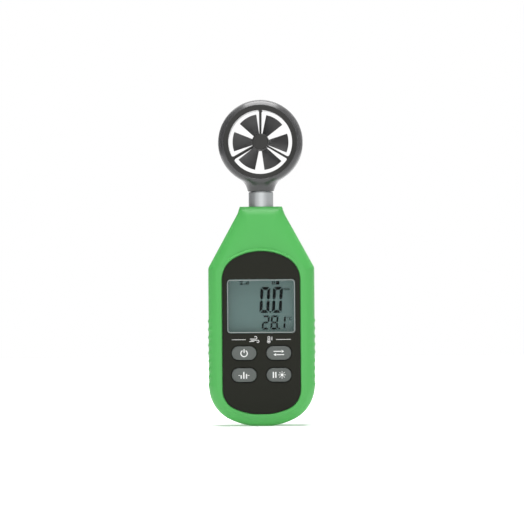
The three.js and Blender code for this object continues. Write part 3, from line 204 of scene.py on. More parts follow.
# %% Lamps
def lamp(name, place, width, height, power, aim=(0, 0, 0.08)):
    """A soft rectangular lamp at a place, turned to its aim."""
    data = bpy.data.lights.new(name, "AREA")
    data.shape = "RECTANGLE"
    data.size, data.size_y = width, height
    data.energy = power
    obj = bpy.data.objects.new(name, data)
    obj.location = place
    obj.rotation_euler = (Vector(aim) - Vector(place)).to_track_quat("-Z", "Y").to_euler()
    scene.collection.objects.link(obj)


lamp("overhead_box", (0, 0, 0.95), 0.7, 1.1, 14, (0, 0, 0))
lamp("front_box", (0.1, -1.4, 0.32), 1.1, 1.0, 2.9)
lamp("back_box", (-0.2, 1.5, 0.7), 1.2, 1.2, 4)

# %% [markdown]
# The neck is bare turned metal, so it looks like whatever stands around it. In an all-white room it would be white.
# A studio stands cards beside such a piece, and the same is done here: a dark card at one side and a grey one at
# the other draw the soft stripes along the tube and on the glossy head. Only reflections see them.

# %% Cards at the sides
CARD_SIDE = 0.5
CARD_LOW, CARD_HIGH = (-0.35, 0.0), (0.9, 0.7)


def new_material(name):
    """A material, its node tree and its Principled shader."""
    material = bpy.data.materials.new(name)
    material.use_nodes = True
    return material, material.node_tree, material.node_tree.nodes["Principled BSDF"]


def sheet(name, shape, material):
    """A flat sheet that belongs to the studio, not to the meter."""
    mesh = bpy.data.meshes.new(name)
    shape.to_mesh(mesh)
    shape.free()
    mesh.materials.append(material)
    obj = bpy.data.objects.new(name, mesh)
    scene.collection.objects.link(obj)
    return obj


def card(name, side, grey):
    """An upright card at one side, seen by reflections only."""
    shape = bmesh.new()
    bmesh.ops.create_grid(shape, x_segments=1, y_segments=1, size=0.5)
    bmesh.ops.rotate(shape, verts=shape.verts, matrix=Matrix.Rotation(radians(90), 3, "Y"))
    spans = [high - low for low, high in zip(CARD_LOW, CARD_HIGH)]
    middle = [(low + high) / 2 for low, high in zip(CARD_LOW, CARD_HIGH)]
    bmesh.ops.scale(shape, verts=shape.verts, vec=(1, *spans))
    bmesh.ops.translate(shape, verts=shape.verts, vec=(side, *middle))
    material, _, shader = new_material(name)
    shader.inputs["Base Color"].default_value = (grey, grey, grey, 1)
    shader.inputs["Roughness"].default_value = 1.0
    obj = sheet(name, shape, material)
    for rays in ("camera", "diffuse", "shadow", "transmission"):
        setattr(obj, f"visible_{rays}", False)
    print(name, tuple(round(size, 2) for size in obj.dimensions))


card("dark_card", -CARD_SIDE, 0.3)
card("grey_card", CARD_SIDE, 0.68)

# %% [markdown]
# The floor is matt paper that takes the meter's shadow. It adds some light of its own where it is seen, more and
# more with the distance, so that it meets the white world without an edge. It also lights the meter's foot a little
# from below, as a bright table does.

# %% Floor
paper = bpy.data.materials.new("studio_paper")
paper.use_nodes = True
tree = paper.node_tree
tree.nodes.clear()
matt = add_node(tree, "ShaderNodeBsdfDiffuse", {"Color": (0.86, 0.86, 0.86, 1)})
place = add_node(tree, "ShaderNodeTexCoord")
away_from_meter = add_node(tree, "ShaderNodeVectorMath", links={0: place.outputs["Object"]}, operation="LENGTH")
fade = add_node(tree, "ShaderNodeMapRange", {"From Min": 0.15, "From Max": 0.9, "To Min": 0.35, "To Max": 1.0},
                {"Value": away_from_meter.outputs["Value"]}, interpolation_type="SMOOTHSTEP")
lift = add_node(tree, "ShaderNodeMath", links={0: seen_straight(tree), 1: fade.outputs["Result"]},
                operation="MULTIPLY")
from_below = add_node(tree, "ShaderNodeMath", {1: 0.3}, {0: lift.outputs[0]}, operation="MAXIMUM")
glow = add_node(tree, "ShaderNodeEmission", links={"Strength": from_below.outputs[0]})
both = add_node(tree, "ShaderNodeAddShader", links={0: matt.outputs[0], 1: glow.outputs[0]})
add_node(tree, "ShaderNodeOutputMaterial", links={"Surface": both.outputs[0]})

floor_shape = bmesh.new()
bmesh.ops.create_grid(floor_shape, x_segments=1, y_segments=1, size=1.5)
floor = sheet("floor", floor_shape, paper)
print("floor", tuple(round(size, 2) for size in floor.dimensions))

# %% [markdown]
# ## Shared finishes
#
# Moulded plastic is never quite even. Its mould is spark eroded, which leaves a grain of about a tenth of a
# millimetre, and its colour clouds slightly. Its edges get a painted highlight: a lighter colour that stands in for
# the light that rounded edges catch. These effects are made once as node groups with named inputs, and each
# material uses them with its own values.

# %% Node group: fine grain
def new_group(name, inputs, outputs):
    """An empty shader group with float inputs (name, value) and float outputs."""
    group = bpy.data.node_groups.new(name, "ShaderNodeTree")
    for label, value in inputs:
        socket = group.interface.new_socket(label, in_out="INPUT", socket_type="NodeSocketFloat")
        socket.default_value = value
    for label in outputs:
        group.interface.new_socket(label, in_out="OUTPUT", socket_type="NodeSocketFloat")
    return group, group.nodes.new("NodeGroupInput"), group.nodes.new("NodeGroupOutput")


def noise(group, scale, place, detail):
    """A noise texture whose scale comes from a socket."""
    node = add_node(group, "ShaderNodeTexNoise", {"Detail": detail}, {"Scale": scale, "Vector": place})
    return node.outputs["Fac"]


grain, grain_in, grain_out = new_group(
    "mould_grain",
    [("Grain Scale", 9000.0), ("Cloud Scale", 60.0), ("Smoothest", 0.4), ("Roughest", 0.5)],
    ["Height", "Roughness", "Cloud"],
)
place = add_node(grain, "ShaderNodeTexCoord").outputs["Object"]
fine = noise(grain, grain_in.outputs["Grain Scale"], place, 1.0)
cloud = noise(grain, grain_in.outputs["Cloud Scale"], place, 3.0)
rough = add_node(grain, "ShaderNodeMapRange", {"From Min": 0.3, "From Max": 0.7},
                 {"Value": cloud, "To Min": grain_in.outputs["Smoothest"], "To Max": grain_in.outputs["Roughest"]})
wire(grain, grain_out, {"Height": fine, "Roughness": rough.outputs["Result"], "Cloud": cloud})
print("group", grain.name, len(grain.nodes), "nodes")

# %% Node group: painted highlight on edges
edges, edges_in, edges_out = new_group("painted_edge_highlight", [("Width", 0.0003), ("Amount", 1.0)], ["Edge"])
# The mask is 1 where the surface turns at an edge, convex or concave; it marks where a painted highlight goes.
rounded_normal = add_node(edges, "ShaderNodeBevel", links={"Radius": edges_in.outputs["Width"]}, samples=4)
true_normal = add_node(edges, "ShaderNodeNewGeometry")
likeness = add_node(edges, "ShaderNodeVectorMath", operation="DOT_PRODUCT",
                    links={0: rounded_normal.outputs["Normal"], 1: true_normal.outputs["Normal"]})
turned = add_node(edges, "ShaderNodeMapRange", {"From Min": 1.0, "From Max": 0.8},
                  {"Value": likeness.outputs["Value"], "To Max": edges_in.outputs["Amount"]})
wire(edges, edges_out, {"Edge": turned.outputs["Result"]})
print("group", edges.name, len(edges.nodes), "nodes")

# %% [markdown]
# ## Materials
#
# One function makes a moulded material: a Principled shader whose colour clouds between two close shades, whose
# edges get a lighter colour as a painted highlight, and whose bump is the mould's grain. Metals get their own
# function, because their marks run round or along the piece, as the tool left them.

# %% Moulded plastics and rubbers
GRAIN_DEPTH = 0.0001
materials = {}


def srgb(red, green, blue):
    """A screen colour of 0 to 255 as linear light."""
    def channel(value):
        value /= 255
        return value / 12.92 if value <= 0.04045 else ((value + 0.055) / 1.055) ** 2.4
    return [channel(red), channel(green), channel(blue), 1.0]


def scaled(colour, factor):
    """A colour made lighter or darker."""
    return [min(1.0, factor * value) for value in colour[:3]] + [1.0]


def moulded(name, colour, smoothest, roughest, grain_scale=9000.0, bump=0.06, cloud=0.04, edge=0.25, specular=0.5):
    """A moulded material with grain, faint clouding and a painted highlight on its edges."""
    materials[name], tree, shader = new_material(name)
    shader.inputs["Specular IOR Level"].default_value = specular
    texture = add_node(tree, "ShaderNodeGroup", {"Grain Scale": grain_scale, "Smoothest": smoothest,
                                                 "Roughest": roughest}, node_tree=grain)
    clouded = add_node(tree, "ShaderNodeMix", {"A": scaled(colour, 1 - cloud), "B": scaled(colour, 1 + cloud)},
                       {"Factor": texture.outputs["Cloud"]}, data_type="RGBA")
    # Edges are lightened towards a paler colour: a painted highlight, standing in for light on rounded edges.
    highlight_mask = add_node(tree, "ShaderNodeGroup", {"Amount": edge}, node_tree=edges)
    highlight_colour = [min(1, 1.5 * value + 0.02) for value in colour[:3]] + [1]
    lighter = add_node(tree, "ShaderNodeMix", {"B": highlight_colour},
                       {"Factor": highlight_mask.outputs["Edge"], "A": clouded.outputs["Result"]}, data_type="RGBA")
    relief = add_node(tree, "ShaderNodeBump", {"Strength": bump, "Distance": GRAIN_DEPTH},
                      {"Height": texture.outputs["Height"]})
    wire(tree, shader, {"Base Color": lighter.outputs["Result"], "Roughness": texture.outputs["Roughness"],
                        "Normal": relief.outputs["Normal"]})


moulded("leaf_green_plastic", srgb(76, 174, 82), 0.40, 0.52, bump=0.10, edge=0.35)
moulded("satin_black_plastic", srgb(52, 52, 53), 0.22, 0.29, bump=0.03, edge=1.0, specular=0.7)
moulded("guard_black_plastic", srgb(36, 36, 34), 0.36, 0.46, bump=0.04, edge=0.2, specular=0.35)
moulded("vane_black_plastic", srgb(102, 102, 102), 0.42, 0.55, bump=0.05, edge=0.2)
moulded("charcoal_panel", srgb(36, 37, 31), 0.50, 0.60, grain_scale=14000, bump=0.05, cloud=0.02, edge=0.15,
        specular=0.1)
moulded("key_rubber", srgb(93, 98, 95), 0.55, 0.65, grain_scale=12000, bump=0.04, edge=0.35, specular=0.35)
moulded("white_plastic", srgb(226, 226, 222), 0.40, 0.50)
moulded("conductive_rubber", srgb(214, 152, 164), 0.6, 0.7)
moulded("chip_resin", srgb(30, 30, 31), 0.45, 0.6, grain_scale=16000, bump=0.12)
moulded("cable_sheath", srgb(28, 28, 30), 0.5, 0.6)
moulded("cell_jacket", srgb(52, 110, 160), 0.25, 0.32, bump=0.02, cloud=0.02)
moulded("print_white", srgb(236, 237, 235), 0.5, 0.6, bump=0.03, cloud=0.01, edge=0.0)
moulded("display_ink", srgb(10, 13, 14), 0.5, 0.6, bump=0.0, cloud=0.02, edge=0.0, specular=0.04)
print("moulded materials", len(materials))

# %% [markdown]
# A circuit board is green mask over copper tracks. Through the mask the tracks show as a lighter green, which a
# brick pattern with thin joints gives well enough for a board that is only glimpsed.

# %% Circuit board
materials["circuit_board"], tree, shader = new_material("circuit_board")
shader.inputs["Coat Weight"].default_value = 0.4
place = add_node(tree, "ShaderNodeTexCoord")
turn = add_node(tree, "ShaderNodeMapping", {"Rotation": (radians(90), 0, 0)}, {"Vector": place.outputs["Object"]})
tracks = add_node(tree, "ShaderNodeTexBrick", {"Scale": 160, "Mortar Size": 0.03, "Color1": srgb(24, 92, 52),
                                               "Color2": srgb(28, 98, 56), "Mortar": srgb(58, 130, 78)},
                  {"Vector": turn.outputs["Vector"]})
texture = add_node(tree, "ShaderNodeGroup", {"Smoothest": 0.28, "Roughest": 0.4}, node_tree=grain)
wire(tree, shader, {"Base Color": tracks.outputs["Color"], "Roughness": texture.outputs["Roughness"]})
print("circuit board", len(tree.nodes), "nodes")

# %% Metals
TOOL_MARKS = 2500.0


def metal(name, colour, smoothest, roughest, stretch):
    """A metal with fine tool marks: noise squeezed along one axis by stretch."""
    materials[name], tree, shader = new_material(name)
    shader.inputs["Metallic"].default_value = 1.0
    place = add_node(tree, "ShaderNodeTexCoord")
    squeeze = add_node(tree, "ShaderNodeMapping", {"Scale": stretch}, {"Vector": place.outputs["Object"]})
    marks = add_node(tree, "ShaderNodeTexNoise", {"Scale": TOOL_MARKS, "Detail": 4},
                     {"Vector": squeeze.outputs["Vector"]}).outputs["Fac"]
    rough = add_node(tree, "ShaderNodeMapRange", {"To Min": smoothest, "To Max": roughest}, {"Value": marks})
    tone = add_node(tree, "ShaderNodeMix", {"A": scaled(colour, 0.93), "B": scaled(colour, 1.05)},
                    {"Factor": marks}, data_type="RGBA")
    relief = add_node(tree, "ShaderNodeBump", {"Strength": 0.04, "Distance": GRAIN_DEPTH}, {"Height": marks})
    wire(tree, shader, {"Base Color": tone.outputs["Result"], "Roughness": rough.outputs["Result"],
                        "Normal": relief.outputs["Normal"]})


metal("satin_aluminium", srgb(170, 173, 174), 0.28, 0.40, (0.02, 0.02, 1.0))
metal("plated_steel", srgb(170, 172, 175), 0.22, 0.34, (1.0, 0.1, 1.0))
metal("turned_brass", srgb(196, 170, 98), 0.22, 0.34, (1.0, 0.05, 1.0))
print("metals done, materials", len(materials))

# %% [markdown]
# The lens is clear acrylic. As glass it would block the lamps' light, because light that passes glass isn't traced
# back to a lamp. So for shadow rays and for light on its way between matt surfaces it is swapped for a transparent
# shader, and the display behind it is lit as brightly as the panel around it. Its index is set below that of bare
# acrylic, as for a lens with a coating against glare, so that the figures behind it stay black.

# %% Clear lens and display glass
materials["clear_acrylic"], tree, shader = new_material("clear_acrylic")
shader.inputs["Base Color"].default_value = (0.97, 0.985, 0.98, 1)
shader.inputs["IOR"].default_value = 1.12
shader.inputs["Transmission Weight"].default_value = 1.0
smears = add_node(tree, "ShaderNodeGroup", {"Cloud Scale": 140, "Smoothest": 0.0, "Roughest": 0.012},
                  node_tree=grain)
wire(tree, shader, {"Roughness": smears.outputs["Roughness"]})
path = add_node(tree, "ShaderNodeLightPath").outputs
clear = add_node(tree, "ShaderNodeBsdfTransparent")
swap = add_node(tree, "ShaderNodeMixShader", links={
    "Fac": higher_of(tree, path["Is Shadow Ray"], path["Is Diffuse Ray"]),
    1: shader.outputs["BSDF"],
    2: clear.outputs["BSDF"],
})
wire(tree, tree.nodes["Material Output"], {"Surface": swap.outputs["Shader"]})
print("clear_acrylic", len(tree.nodes), "nodes")
# The lens bevel's light grey is a painted highlight, for the light that the bevel catches.
moulded("painted_lens_rim_highlight", srgb(168, 176, 174), 0.2, 0.3, bump=0.0, cloud=0.02, edge=0.0)
moulded("display_grey", srgb(88, 112, 109), 0.35, 0.45, grain_scale=20000, bump=0.02, cloud=0.02, edge=0.0,
        specular=0.3)

# %% Give every carried-over node its material
slot_material = {
    "housing_plastic": "leaf_green_plastic",
    "head_plastic": "satin_black_plastic",
    "vane_plastic": "vane_black_plastic",
    "panel_plastic": "charcoal_panel",
    "window_plastic": "clear_acrylic",
    "display": "display_grey",
    "white_plastic": "white_plastic",
    "connector_rubber": "conductive_rubber",
    "circuit_board": "circuit_board",
    "chip_plastic": "chip_resin",
    "key_rubber": "key_rubber",
    "lead_sheath": "cable_sheath",
    "satin_aluminium": "satin_aluminium",
    "bright_steel": "plated_steel",
    "bearing_brass": "turned_brass",
    "cell_jacket": "cell_jacket",
}
node_slot = {entry["node"]: entry["material_slot"] for entry in frame["record"]["subparts"]}
for name, node in frame["nodes"].items():
    node.data.materials.clear()
    node.data.materials.append(materials[slot_material[node_slot[name]]])
print("nodes dressed", len(frame["nodes"]))

# %% [markdown]
# ## Tools for making pieces
#
# Two ways of making a form cover nearly all of this meter. A *loft* starts as one ring of vertices that is
# extruded again and again, each new ring being moved to its place. A *spin* turns a profile about an axis. Both
# end as closed bmeshes, whose sharp edges are then bevelled.

# %% Loft, spin and bevel
def mm(point):
    """A point in millimetres as one in metres."""
    return Vector(point) * MM


def loft(rings, closed=True):
    """A skin extruded ring by ring, with a face at each end."""
    shape = bmesh.new()
    ring = [shape.verts.new(mm(point)) for point in rings[0]]
    loop = [shape.edges.new((a, b)) for a, b in zip(ring, ring[1:] + ring[:1])]
    ends = [loop]
    for places in rings[1:]:
        drawn = bmesh.ops.extrude_edge_only(shape, edges=loop)["geom"]
        fresh = {part for part in drawn if isinstance(part, bmesh.types.BMVert)}
        ring = [next(e.other_vert(v) for e in v.link_edges if e.other_vert(v) in fresh) for v in ring]
        loop = [e for e in drawn if isinstance(e, bmesh.types.BMEdge) and fresh.issuperset(e.verts)]
        for vertex, point in zip(ring, places):
            vertex.co = mm(point)
    ends.append(loop)
    if closed:
        for end in ends:
            bmesh.ops.contextual_create(shape, geom=end)
    bmesh.ops.remove_doubles(shape, verts=shape.verts, dist=1e-6)
    bmesh.ops.recalc_face_normals(shape, faces=shape.faces)
    return shape


def spin(profile, axis, steps=128):
    """A profile of (radius, height) points turned about the Y or Z axis, closed where it meets the axis."""
    shape = bmesh.new()
    spots = [(radius, height, 0) if axis == "Y" else (radius, 0, height) for radius, height in profile]
    verts = [shape.verts.new(mm(spot)) for spot in spots]
    line = [shape.edges.new((a, b)) for a, b in zip(verts, verts[1:])]
    if profile[0][0] > 0:
        line.append(shape.edges.new((verts[-1], verts[0])))
    turn = Vector((0, 1, 0)) if axis == "Y" else Vector((0, 0, 1))
    bmesh.ops.spin(shape, geom=verts + line, cent=(0, 0, 0), axis=turn, angle=2 * pi, steps=steps, use_merge=True)
    bmesh.ops.remove_doubles(shape, verts=shape.verts, dist=1e-6)
    bmesh.ops.recalc_face_normals(shape, faces=shape.faces)
    return shape


def soften(shape, width, segments=3, angle=40):
    """Bevel every edge that turns by more than the angle."""
    sharp = [e for e in shape.edges if len(e.link_faces) == 2 and e.calc_face_angle(0) > radians(angle)]
    bmesh.ops.bevel(shape, geom=sharp, offset=width * MM, segments=segments, profile=0.5, affect="EDGES",
                    material=-1, clamp_overlap=True)
    return shape


def shifted(shape, x=0.0, y=0.0, z=0.0):
    """The same shape moved by millimetres."""
    bmesh.ops.translate(shape, verts=shape.verts, vec=mm((x, y, z)))
    return shape


# %% Objects from shapes
def make_object(name, shape, smooth_below=35):
    """An object at the origin from a bmesh, smooth where faces meet at less than the angle."""
    mesh = bpy.data.meshes.new(name)
    shape.to_mesh(mesh)
    shape.free()
    mesh.shade_smooth()
    mesh.set_sharp_from_angle(angle=radians(smooth_below))
    obj = bpy.data.objects.new(name, mesh)
    scene.collection.objects.link(obj)
    return obj


def dress(obj, material, body, slot, *stands_for):
    """Give a piece its material, its body and the nodes it stands for. The slot in the record is not used."""
    if not obj.data.materials:
        obj.data.materials.append(materials[material])
    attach(obj, body)
    if stands_for:
        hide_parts(*stands_for)
    print(obj.name, len(obj.data.polygons), "faces")


def carve(obj, *cutters, operation="DIFFERENCE"):
    """Cut shapes out of an object, or join them to it, and keep the result as its mesh."""
    helpers = [make_object("cutter", shape) for shape in cutters]
    for helper in helpers:
        step = obj.modifiers.new("carve", "BOOLEAN")
        step.operation = operation
        step.object = helper
        step.solver = "EXACT"
    bpy.context.view_layer.update()
    result = bpy.data.meshes.new_from_object(obj.evaluated_get(bpy.context.evaluated_depsgraph_get()))
    obj.modifiers.clear()
    obj.data = result
    for helper in helpers:
        bpy.data.objects.remove(helper)
    result.shade_smooth()
    result.set_sharp_from_angle(angle=radians(35))


def shape_of(obj):
    """The object's shape back as a bmesh, and the object gone, to be made again from it."""
    shape = bmesh.new()
    shape.from_mesh(obj.data)
    bpy.data.objects.remove(obj)
    return shape


# %% [markdown]
# ## Outlines
#
# The housing is drawn from the front: a flat top edge, a short collar, straight shoulders, upright flanks and an
# arched end made of three arcs. The same outline moved inwards gives every ring of the loft, so all rings need the
# same number of points. The flanks get many points, because the grip ribs are raised from them.

# %% Outline helpers
def arc(x, z, radius, start, end, steps):
    """Points along an arc about x, z, with both ends."""
    angles = [start + (end - start) * i / steps for i in range(steps + 1)]
    return [(x + radius * cos(angle), z + radius * sin(angle)) for angle in angles]


def between(a, b, count):
    """Points from a to b without either end."""
    return [(a[0] + (b[0] - a[0]) * i / (count + 1), a[1] + (b[1] - a[1]) * i / (count + 1))
            for i in range(1, count + 1)]


def moved(a, b, distance):
    """The line through a and b moved to the right of its run."""
    length = hypot(b[0] - a[0], b[1] - a[1])
    side = ((b[1] - a[1]) / length * distance, -(b[0] - a[0]) / length * distance)
    return (a[0] + side[0], a[1] + side[1]), (b[0] + side[0], b[1] + side[1])


def crossing(first, second):
    """Where two lines, each given by two points, meet."""
    (ax, az), (bx, bz) = first
    (cx, cz), (dx, dz) = second
    along, across = (bx - ax, bz - az), (dx - cx, dz - cz)
    share = ((cx - ax) * across[1] - (cz - az) * across[0]) / (along[0] * across[1] - along[1] * across[0])
    return ax + along[0] * share, az + along[1] * share


def bend(a, b, c, reach, steps):
    """The corner b rounded between a and c."""
    a, b, c = Vector(a), Vector(b), Vector(c)
    start, end = b + (a - b).normalized() * reach, b + (c - b).normalized() * reach
    return [tuple((1 - t) ** 2 * start + 2 * t * (1 - t) * b + t * t * end)
            for t in (i / steps for i in range(steps + 1))]


def mirrored(half):
    """A right half closed by its mirror image."""
    return half + [(-x, z) for x, z in reversed(half) if abs(x) > 1e-6]


def arch_half(half_width, end_radius, corner_radius, flat_half, inset, steps):
    """Right half of an arched end, from the flank to the middle, whose outermost level is 0."""
    corner_x = half_width - corner_radius
    rise = sqrt((end_radius - corner_radius) ** 2 - corner_x ** 2)
    turn = atan2(rise, corner_x)
    level = sqrt(end_radius ** 2 - flat_half ** 2)
    stop = asin(min(1.0, (level - inset) / (end_radius - inset)))
    corner = arc(corner_x, rise, corner_radius - inset, 0, turn, steps)
    end = arc(0, 0, end_radius - inset, turn, stop, steps)
    return [(x, z - level) for x, z in corner + end[1:]]


# %% The housing's and the panel's outlines
def housing_outline(inset, flank_points=120, fine=3):
    """The outline of the housing from the front, moved inwards by inset."""
    top = ((0, HOUSING_TOP), (COLLAR_HALF_WIDTH, HOUSING_TOP))
    waist = (COLLAR_HALF_WIDTH + COLLAR_FLARE, HOUSING_TOP - COLLAR_HEIGHT)
    shoulder = (FLANK, SHOULDER_Z)
    arch = arch_half(FLANK, END_RADIUS, CORNER_RADIUS, FOOT_HALF_WIDTH, inset, 5 * fine)
    bottom = [(x, -z) for x, z in arch]
    top_line = moved(*top, inset)
    collar_line = moved(top[1], waist, inset)
    shoulder_line = moved(waist, shoulder, inset)
    flank_line = moved(shoulder, (FLANK, 0), inset)
    keeps_collar = crossing(top_line, collar_line)[1] > crossing(collar_line, shoulder_line)[1]
    b = crossing(top_line, collar_line if keeps_collar else shoulder_line)
    c = crossing(collar_line if keeps_collar else top_line, shoulder_line)
    d = crossing(shoulder_line, flank_line)
    turn = atan2(shoulder[0] - waist[0], waist[1] - shoulder[1])
    rounding = bend(c, d, bottom[0], max(SHOULDER_RADIUS - inset, 1) * tan(turn / 2), 3 * fine)
    start = (0, top_line[0][1])
    return mirrored([start, *between(start, b, fine), b, c, *between(c, rounding[0], 6 * fine), *rounding,
                     *between(rounding[-1], bottom[0], flank_points), *bottom])


def panel_outline(inset, steps=24):
    """The outline of the face panel, moved inwards by inset."""
    top = arch_half(PANEL_HALF_WIDTH, PANEL_TOP_RADIUS, PANEL_TOP_CORNER, 0, inset, steps)
    end = arch_half(PANEL_HALF_WIDTH, PANEL_END_RADIUS, PANEL_END_CORNER, 0, inset, steps)
    return mirrored([(x, PANEL_TOP + z) for x, z in reversed(top)] + [(x, PANEL_BOTTOM - z) for x, z in end])


def ray_hits(outline, points):
    """For each point, where the ray from the face's centre through it leaves the outline."""
    centre = Vector((0, FACE_CENTRE_Z))
    corners = [Vector(point) - centre for point in outline]
    spokes = [(a, b - a) for a, b in zip(corners, corners[1:] + corners[:1])]
    hits = []
    for point in points:
        ray = Vector(point) - centre
        for a, edge in spokes:
            across = ray.x * edge.y - ray.y * edge.x
            if abs(across) < 1e-9:
                continue
            far = (a.x * edge.y - a.y * edge.x) / across
            share = (a.x * ray.y - a.y * ray.x) / across
            if far > 0 and -1e-9 <= share <= 1 + 1e-9:
                hits.append(tuple(centre + far * ray))
                break
    return hits


print("housing outline", len(housing_outline(0)), "points, panel", len(panel_outline(0)), "points")

# %% [markdown]
# ## Housing halves
#
# The housing is two moulded halves. Each is lofted from the seam outwards: over the flank, round the broad edge
# and over the face, which falls away towards the neck. The grip ribs are soft swellings of the flank that fade out
# on the rounded edge. A solid made this way is then hollowed and cut with booleans, as the moulding's cores would.

# %% Rings of one half
def neck_fall(z):
    """How much thinner the housing is on one side at this height, on the way up to the neck."""
    return NECK_THINNING * max(0.0, (z - SHOULDER_Z) / (HOUSING_TOP - SHOULDER_Z))


def rib_swelling(x, z, fade):
    """How far a grip rib lifts the flank at a height."""
    nearest = RIB_FIRST + RIB_PITCH * min(RIB_COUNT - 1, max(0, round((z - RIB_FIRST) / RIB_PITCH)))
    off = abs(z - nearest) / 1.35
    return RIB_RELIEF * fade * cos(off * pi / 2) ** 2 if off < 1 and abs(x) > FLANK - EDGE_WIDTH - 1 else 0.0


def ring_at(side, inset, reach_of, fade=0.0):
    """A ring of points: the outline moved in, at a reach from the seam that may depend on the height."""
    ring = []
    for x, z in housing_outline(inset):
        lift = rib_swelling(x, z, fade)
        ring.append((x + (lift if x > 0 else -lift), SEAM_Y + side * reach_of(z), z))
    return ring


def edge_rings(side, steps):
    """From the flank round the broad edge to the crease."""
    turn = radians(EDGE_TURN)
    rings = []
    for i in range(steps + 1):
        angle = turn * i / steps
        width = EDGE_WIDTH * (1 - cos(angle)) / (1 - cos(turn))
        rise = EDGE_DEPTH * sin(angle) / sin(turn)
        share = (HALF_DEPTH - EDGE_DEPTH + rise) / HALF_DEPTH
        fade = max(0.0, 1 - (i / steps / 0.8) ** 2)
        rings.append(ring_at(side, width, lambda z: (HALF_DEPTH - neck_fall(z)) * share, fade))
    return rings


def slope_rings(side, crease, inner, steps):
    """Over the face, with the slight crown of its sloping part."""
    rings = []
    for i in range(1, steps):
        share = i / steps
        ring = []
        for (x0, _, z0), (x1, z1) in zip(crease, inner):
            x, z = x0 + (x1 - x0) * share, z0 + (z1 - z0) * share
            swell = CROWN * min(1.0, hypot(x1 - x0, z1 - z0) / SLOPE_SPAN) * sin(pi * share)
            ring.append((x, SEAM_Y + side * min(HALF_DEPTH, HALF_DEPTH - neck_fall(z) + swell), z))
        rings.append(ring)
    return rings


def seam_rings(side):
    """The seam's edge with a small rounding, and the start of the flank."""
    return [
        ring_at(side, 0.35, lambda z: SEAM / 2, 0.4),
        ring_at(side, 0.1, lambda z: SEAM / 2 + 0.08, 0.8),
        ring_at(side, 0.0, lambda z: SEAM / 2 + 0.35, 1.0),
    ]


# %% Front half
RECESS_Y = panel_high[1] + CLEARANCE
seam = seam_rings(-1)
broad_edge = edge_rings(-1, 10)
crease = broad_edge[-1]
rays = [(x, z) for x, _, z in crease]
foot = ray_hits(panel_outline(-1.5), rays)


def at_level(outline, level):
    """A ring from an outline, at one depth or at a depth that changes with height."""
    return [(x, level(z) if callable(level) else level, z) for x, z in outline]


def face_level(z):
    """Depth of the housing's face at this height."""
    return SEAM_Y - HALF_DEPTH + neck_fall(z)


# The panel's raised rim, from its foot on the face to the recess inside it.
PANEL_RIM = ((-1.2, lambda z: 0.35 * face_level(z) + 0.65 * FRONT), (-0.95, FRONT), (-0.6, FRONT),
             (-0.42, FRONT + 0.08), (-0.3, FRONT + 0.3), (-0.3, RECESS_Y))
front_form = loft([
    *seam,
    *broad_edge,
    *slope_rings(-1, crease, foot, 8),
    at_level(foot, face_level),
    *[at_level(ray_hits(panel_outline(inset), rays), level) for inset, level in PANEL_RIM],
])
front_housing = make_object("front_housing", front_form)
print("front form", len(front_housing.data.polygons), "faces")

# %% Cores that hollow the halves
def core_rings(side, wall, flat_reach):
    """The hollow inside one half, reaching past the seam."""
    depth = HALF_DEPTH - wall
    outline = housing_outline(wall, 10, 1)
    inner = housing_outline(wall + EDGE_WIDTH, 10, 1)
    return [
        [(x, SEAM_Y - side * 2, z) for x, z in outline],
        [(x, SEAM_Y + side * (depth - neck_fall(z) - EDGE_DEPTH), z) for x, z in outline],
        [(x, SEAM_Y + side * (min(flat_reach, depth - neck_fall(z))), z) for x, z in inner],
    ]


# %% [markdown]
# Windows, keys and the door are each one flat outline pushed along the depth, with the same gap all round. So the
# outlines here can be grown, and a stack of grown outlines at several depths makes a piece or its cutter.

# %% Outlines that can be grown, and cutters made from them
NECK_BORE = 6.25


def at_depths(outline_of, *steps):
    """Rings of one outline at (grow, depth) steps."""
    return [[(x, y, z) for x, z in outline_of(grow)] for grow, y in steps]


def box_outline(x, z, width, height, radius, steps=8):
    """An outline of a round-cornered rectangle that can be grown."""
    w, h = width / 2 - radius, height / 2 - radius

    def outline(grow):
        r = radius + grow
        return [*arc(x + w, z + h, r, 0, pi / 2, steps), *arc(x - w, z + h, r, pi / 2, pi, steps),
                *arc(x - w, z - h, r, pi, 1.5 * pi, steps), *arc(x + w, z - h, r, 1.5 * pi, 2 * pi, steps)]
    return outline


def obround(x, z, width, height, grow, steps=20):
    """A slot's outline: two half circles joined by straight runs."""
    radius, half = height / 2 + grow, (width - height) / 2
    return [*arc(x + half, z, radius, -pi / 2, pi / 2, steps), *arc(x - half, z, radius, pi / 2, 1.5 * pi, steps)]


def rounded_box(x, z, width, height, radius, y0, y1):
    """A block between two depths with round corners, seen from the front."""
    return loft(at_depths(box_outline(x, z, width, height, radius), (0, y0), (0, y1)))


def round_pin(x, z, radius, y0, y1, steps=48):
    """A cylinder along the depth."""
    return shifted(spin([(0, y0), (radius, y0), (radius, y1), (0, y1)], "Y", steps), x=x, z=z)


def neck_bore():
    """A cutter for the hole that the neck tube passes."""
    return spin([(0, 80), (NECK_BORE, 80), (NECK_BORE, 110), (0, 110)], "Z", 96)


# %% [markdown]
# The front half is hollow, with a window for the display, a hole with a little room for each key, and a bore for
# the neck. All of them are cut at once.

# %% Openings of the front half
KEYS = ("power_key", "unit_key", "max_avg_key", "hold_light_key")
KEY_SIZE = (12.0, 6.6)
KEY_GAP, WINDOW_GAP = 0.4, 0.6
FRONT_CUT = (-14, -8)
key_centres = {name: (centre_mm(name)[0], centre_mm(name)[2]) for name in KEYS}


def key_outline(name):
    """The outline of a key that can be grown."""
    return lambda grow: obround(*key_centres[name], *KEY_SIZE, grow)


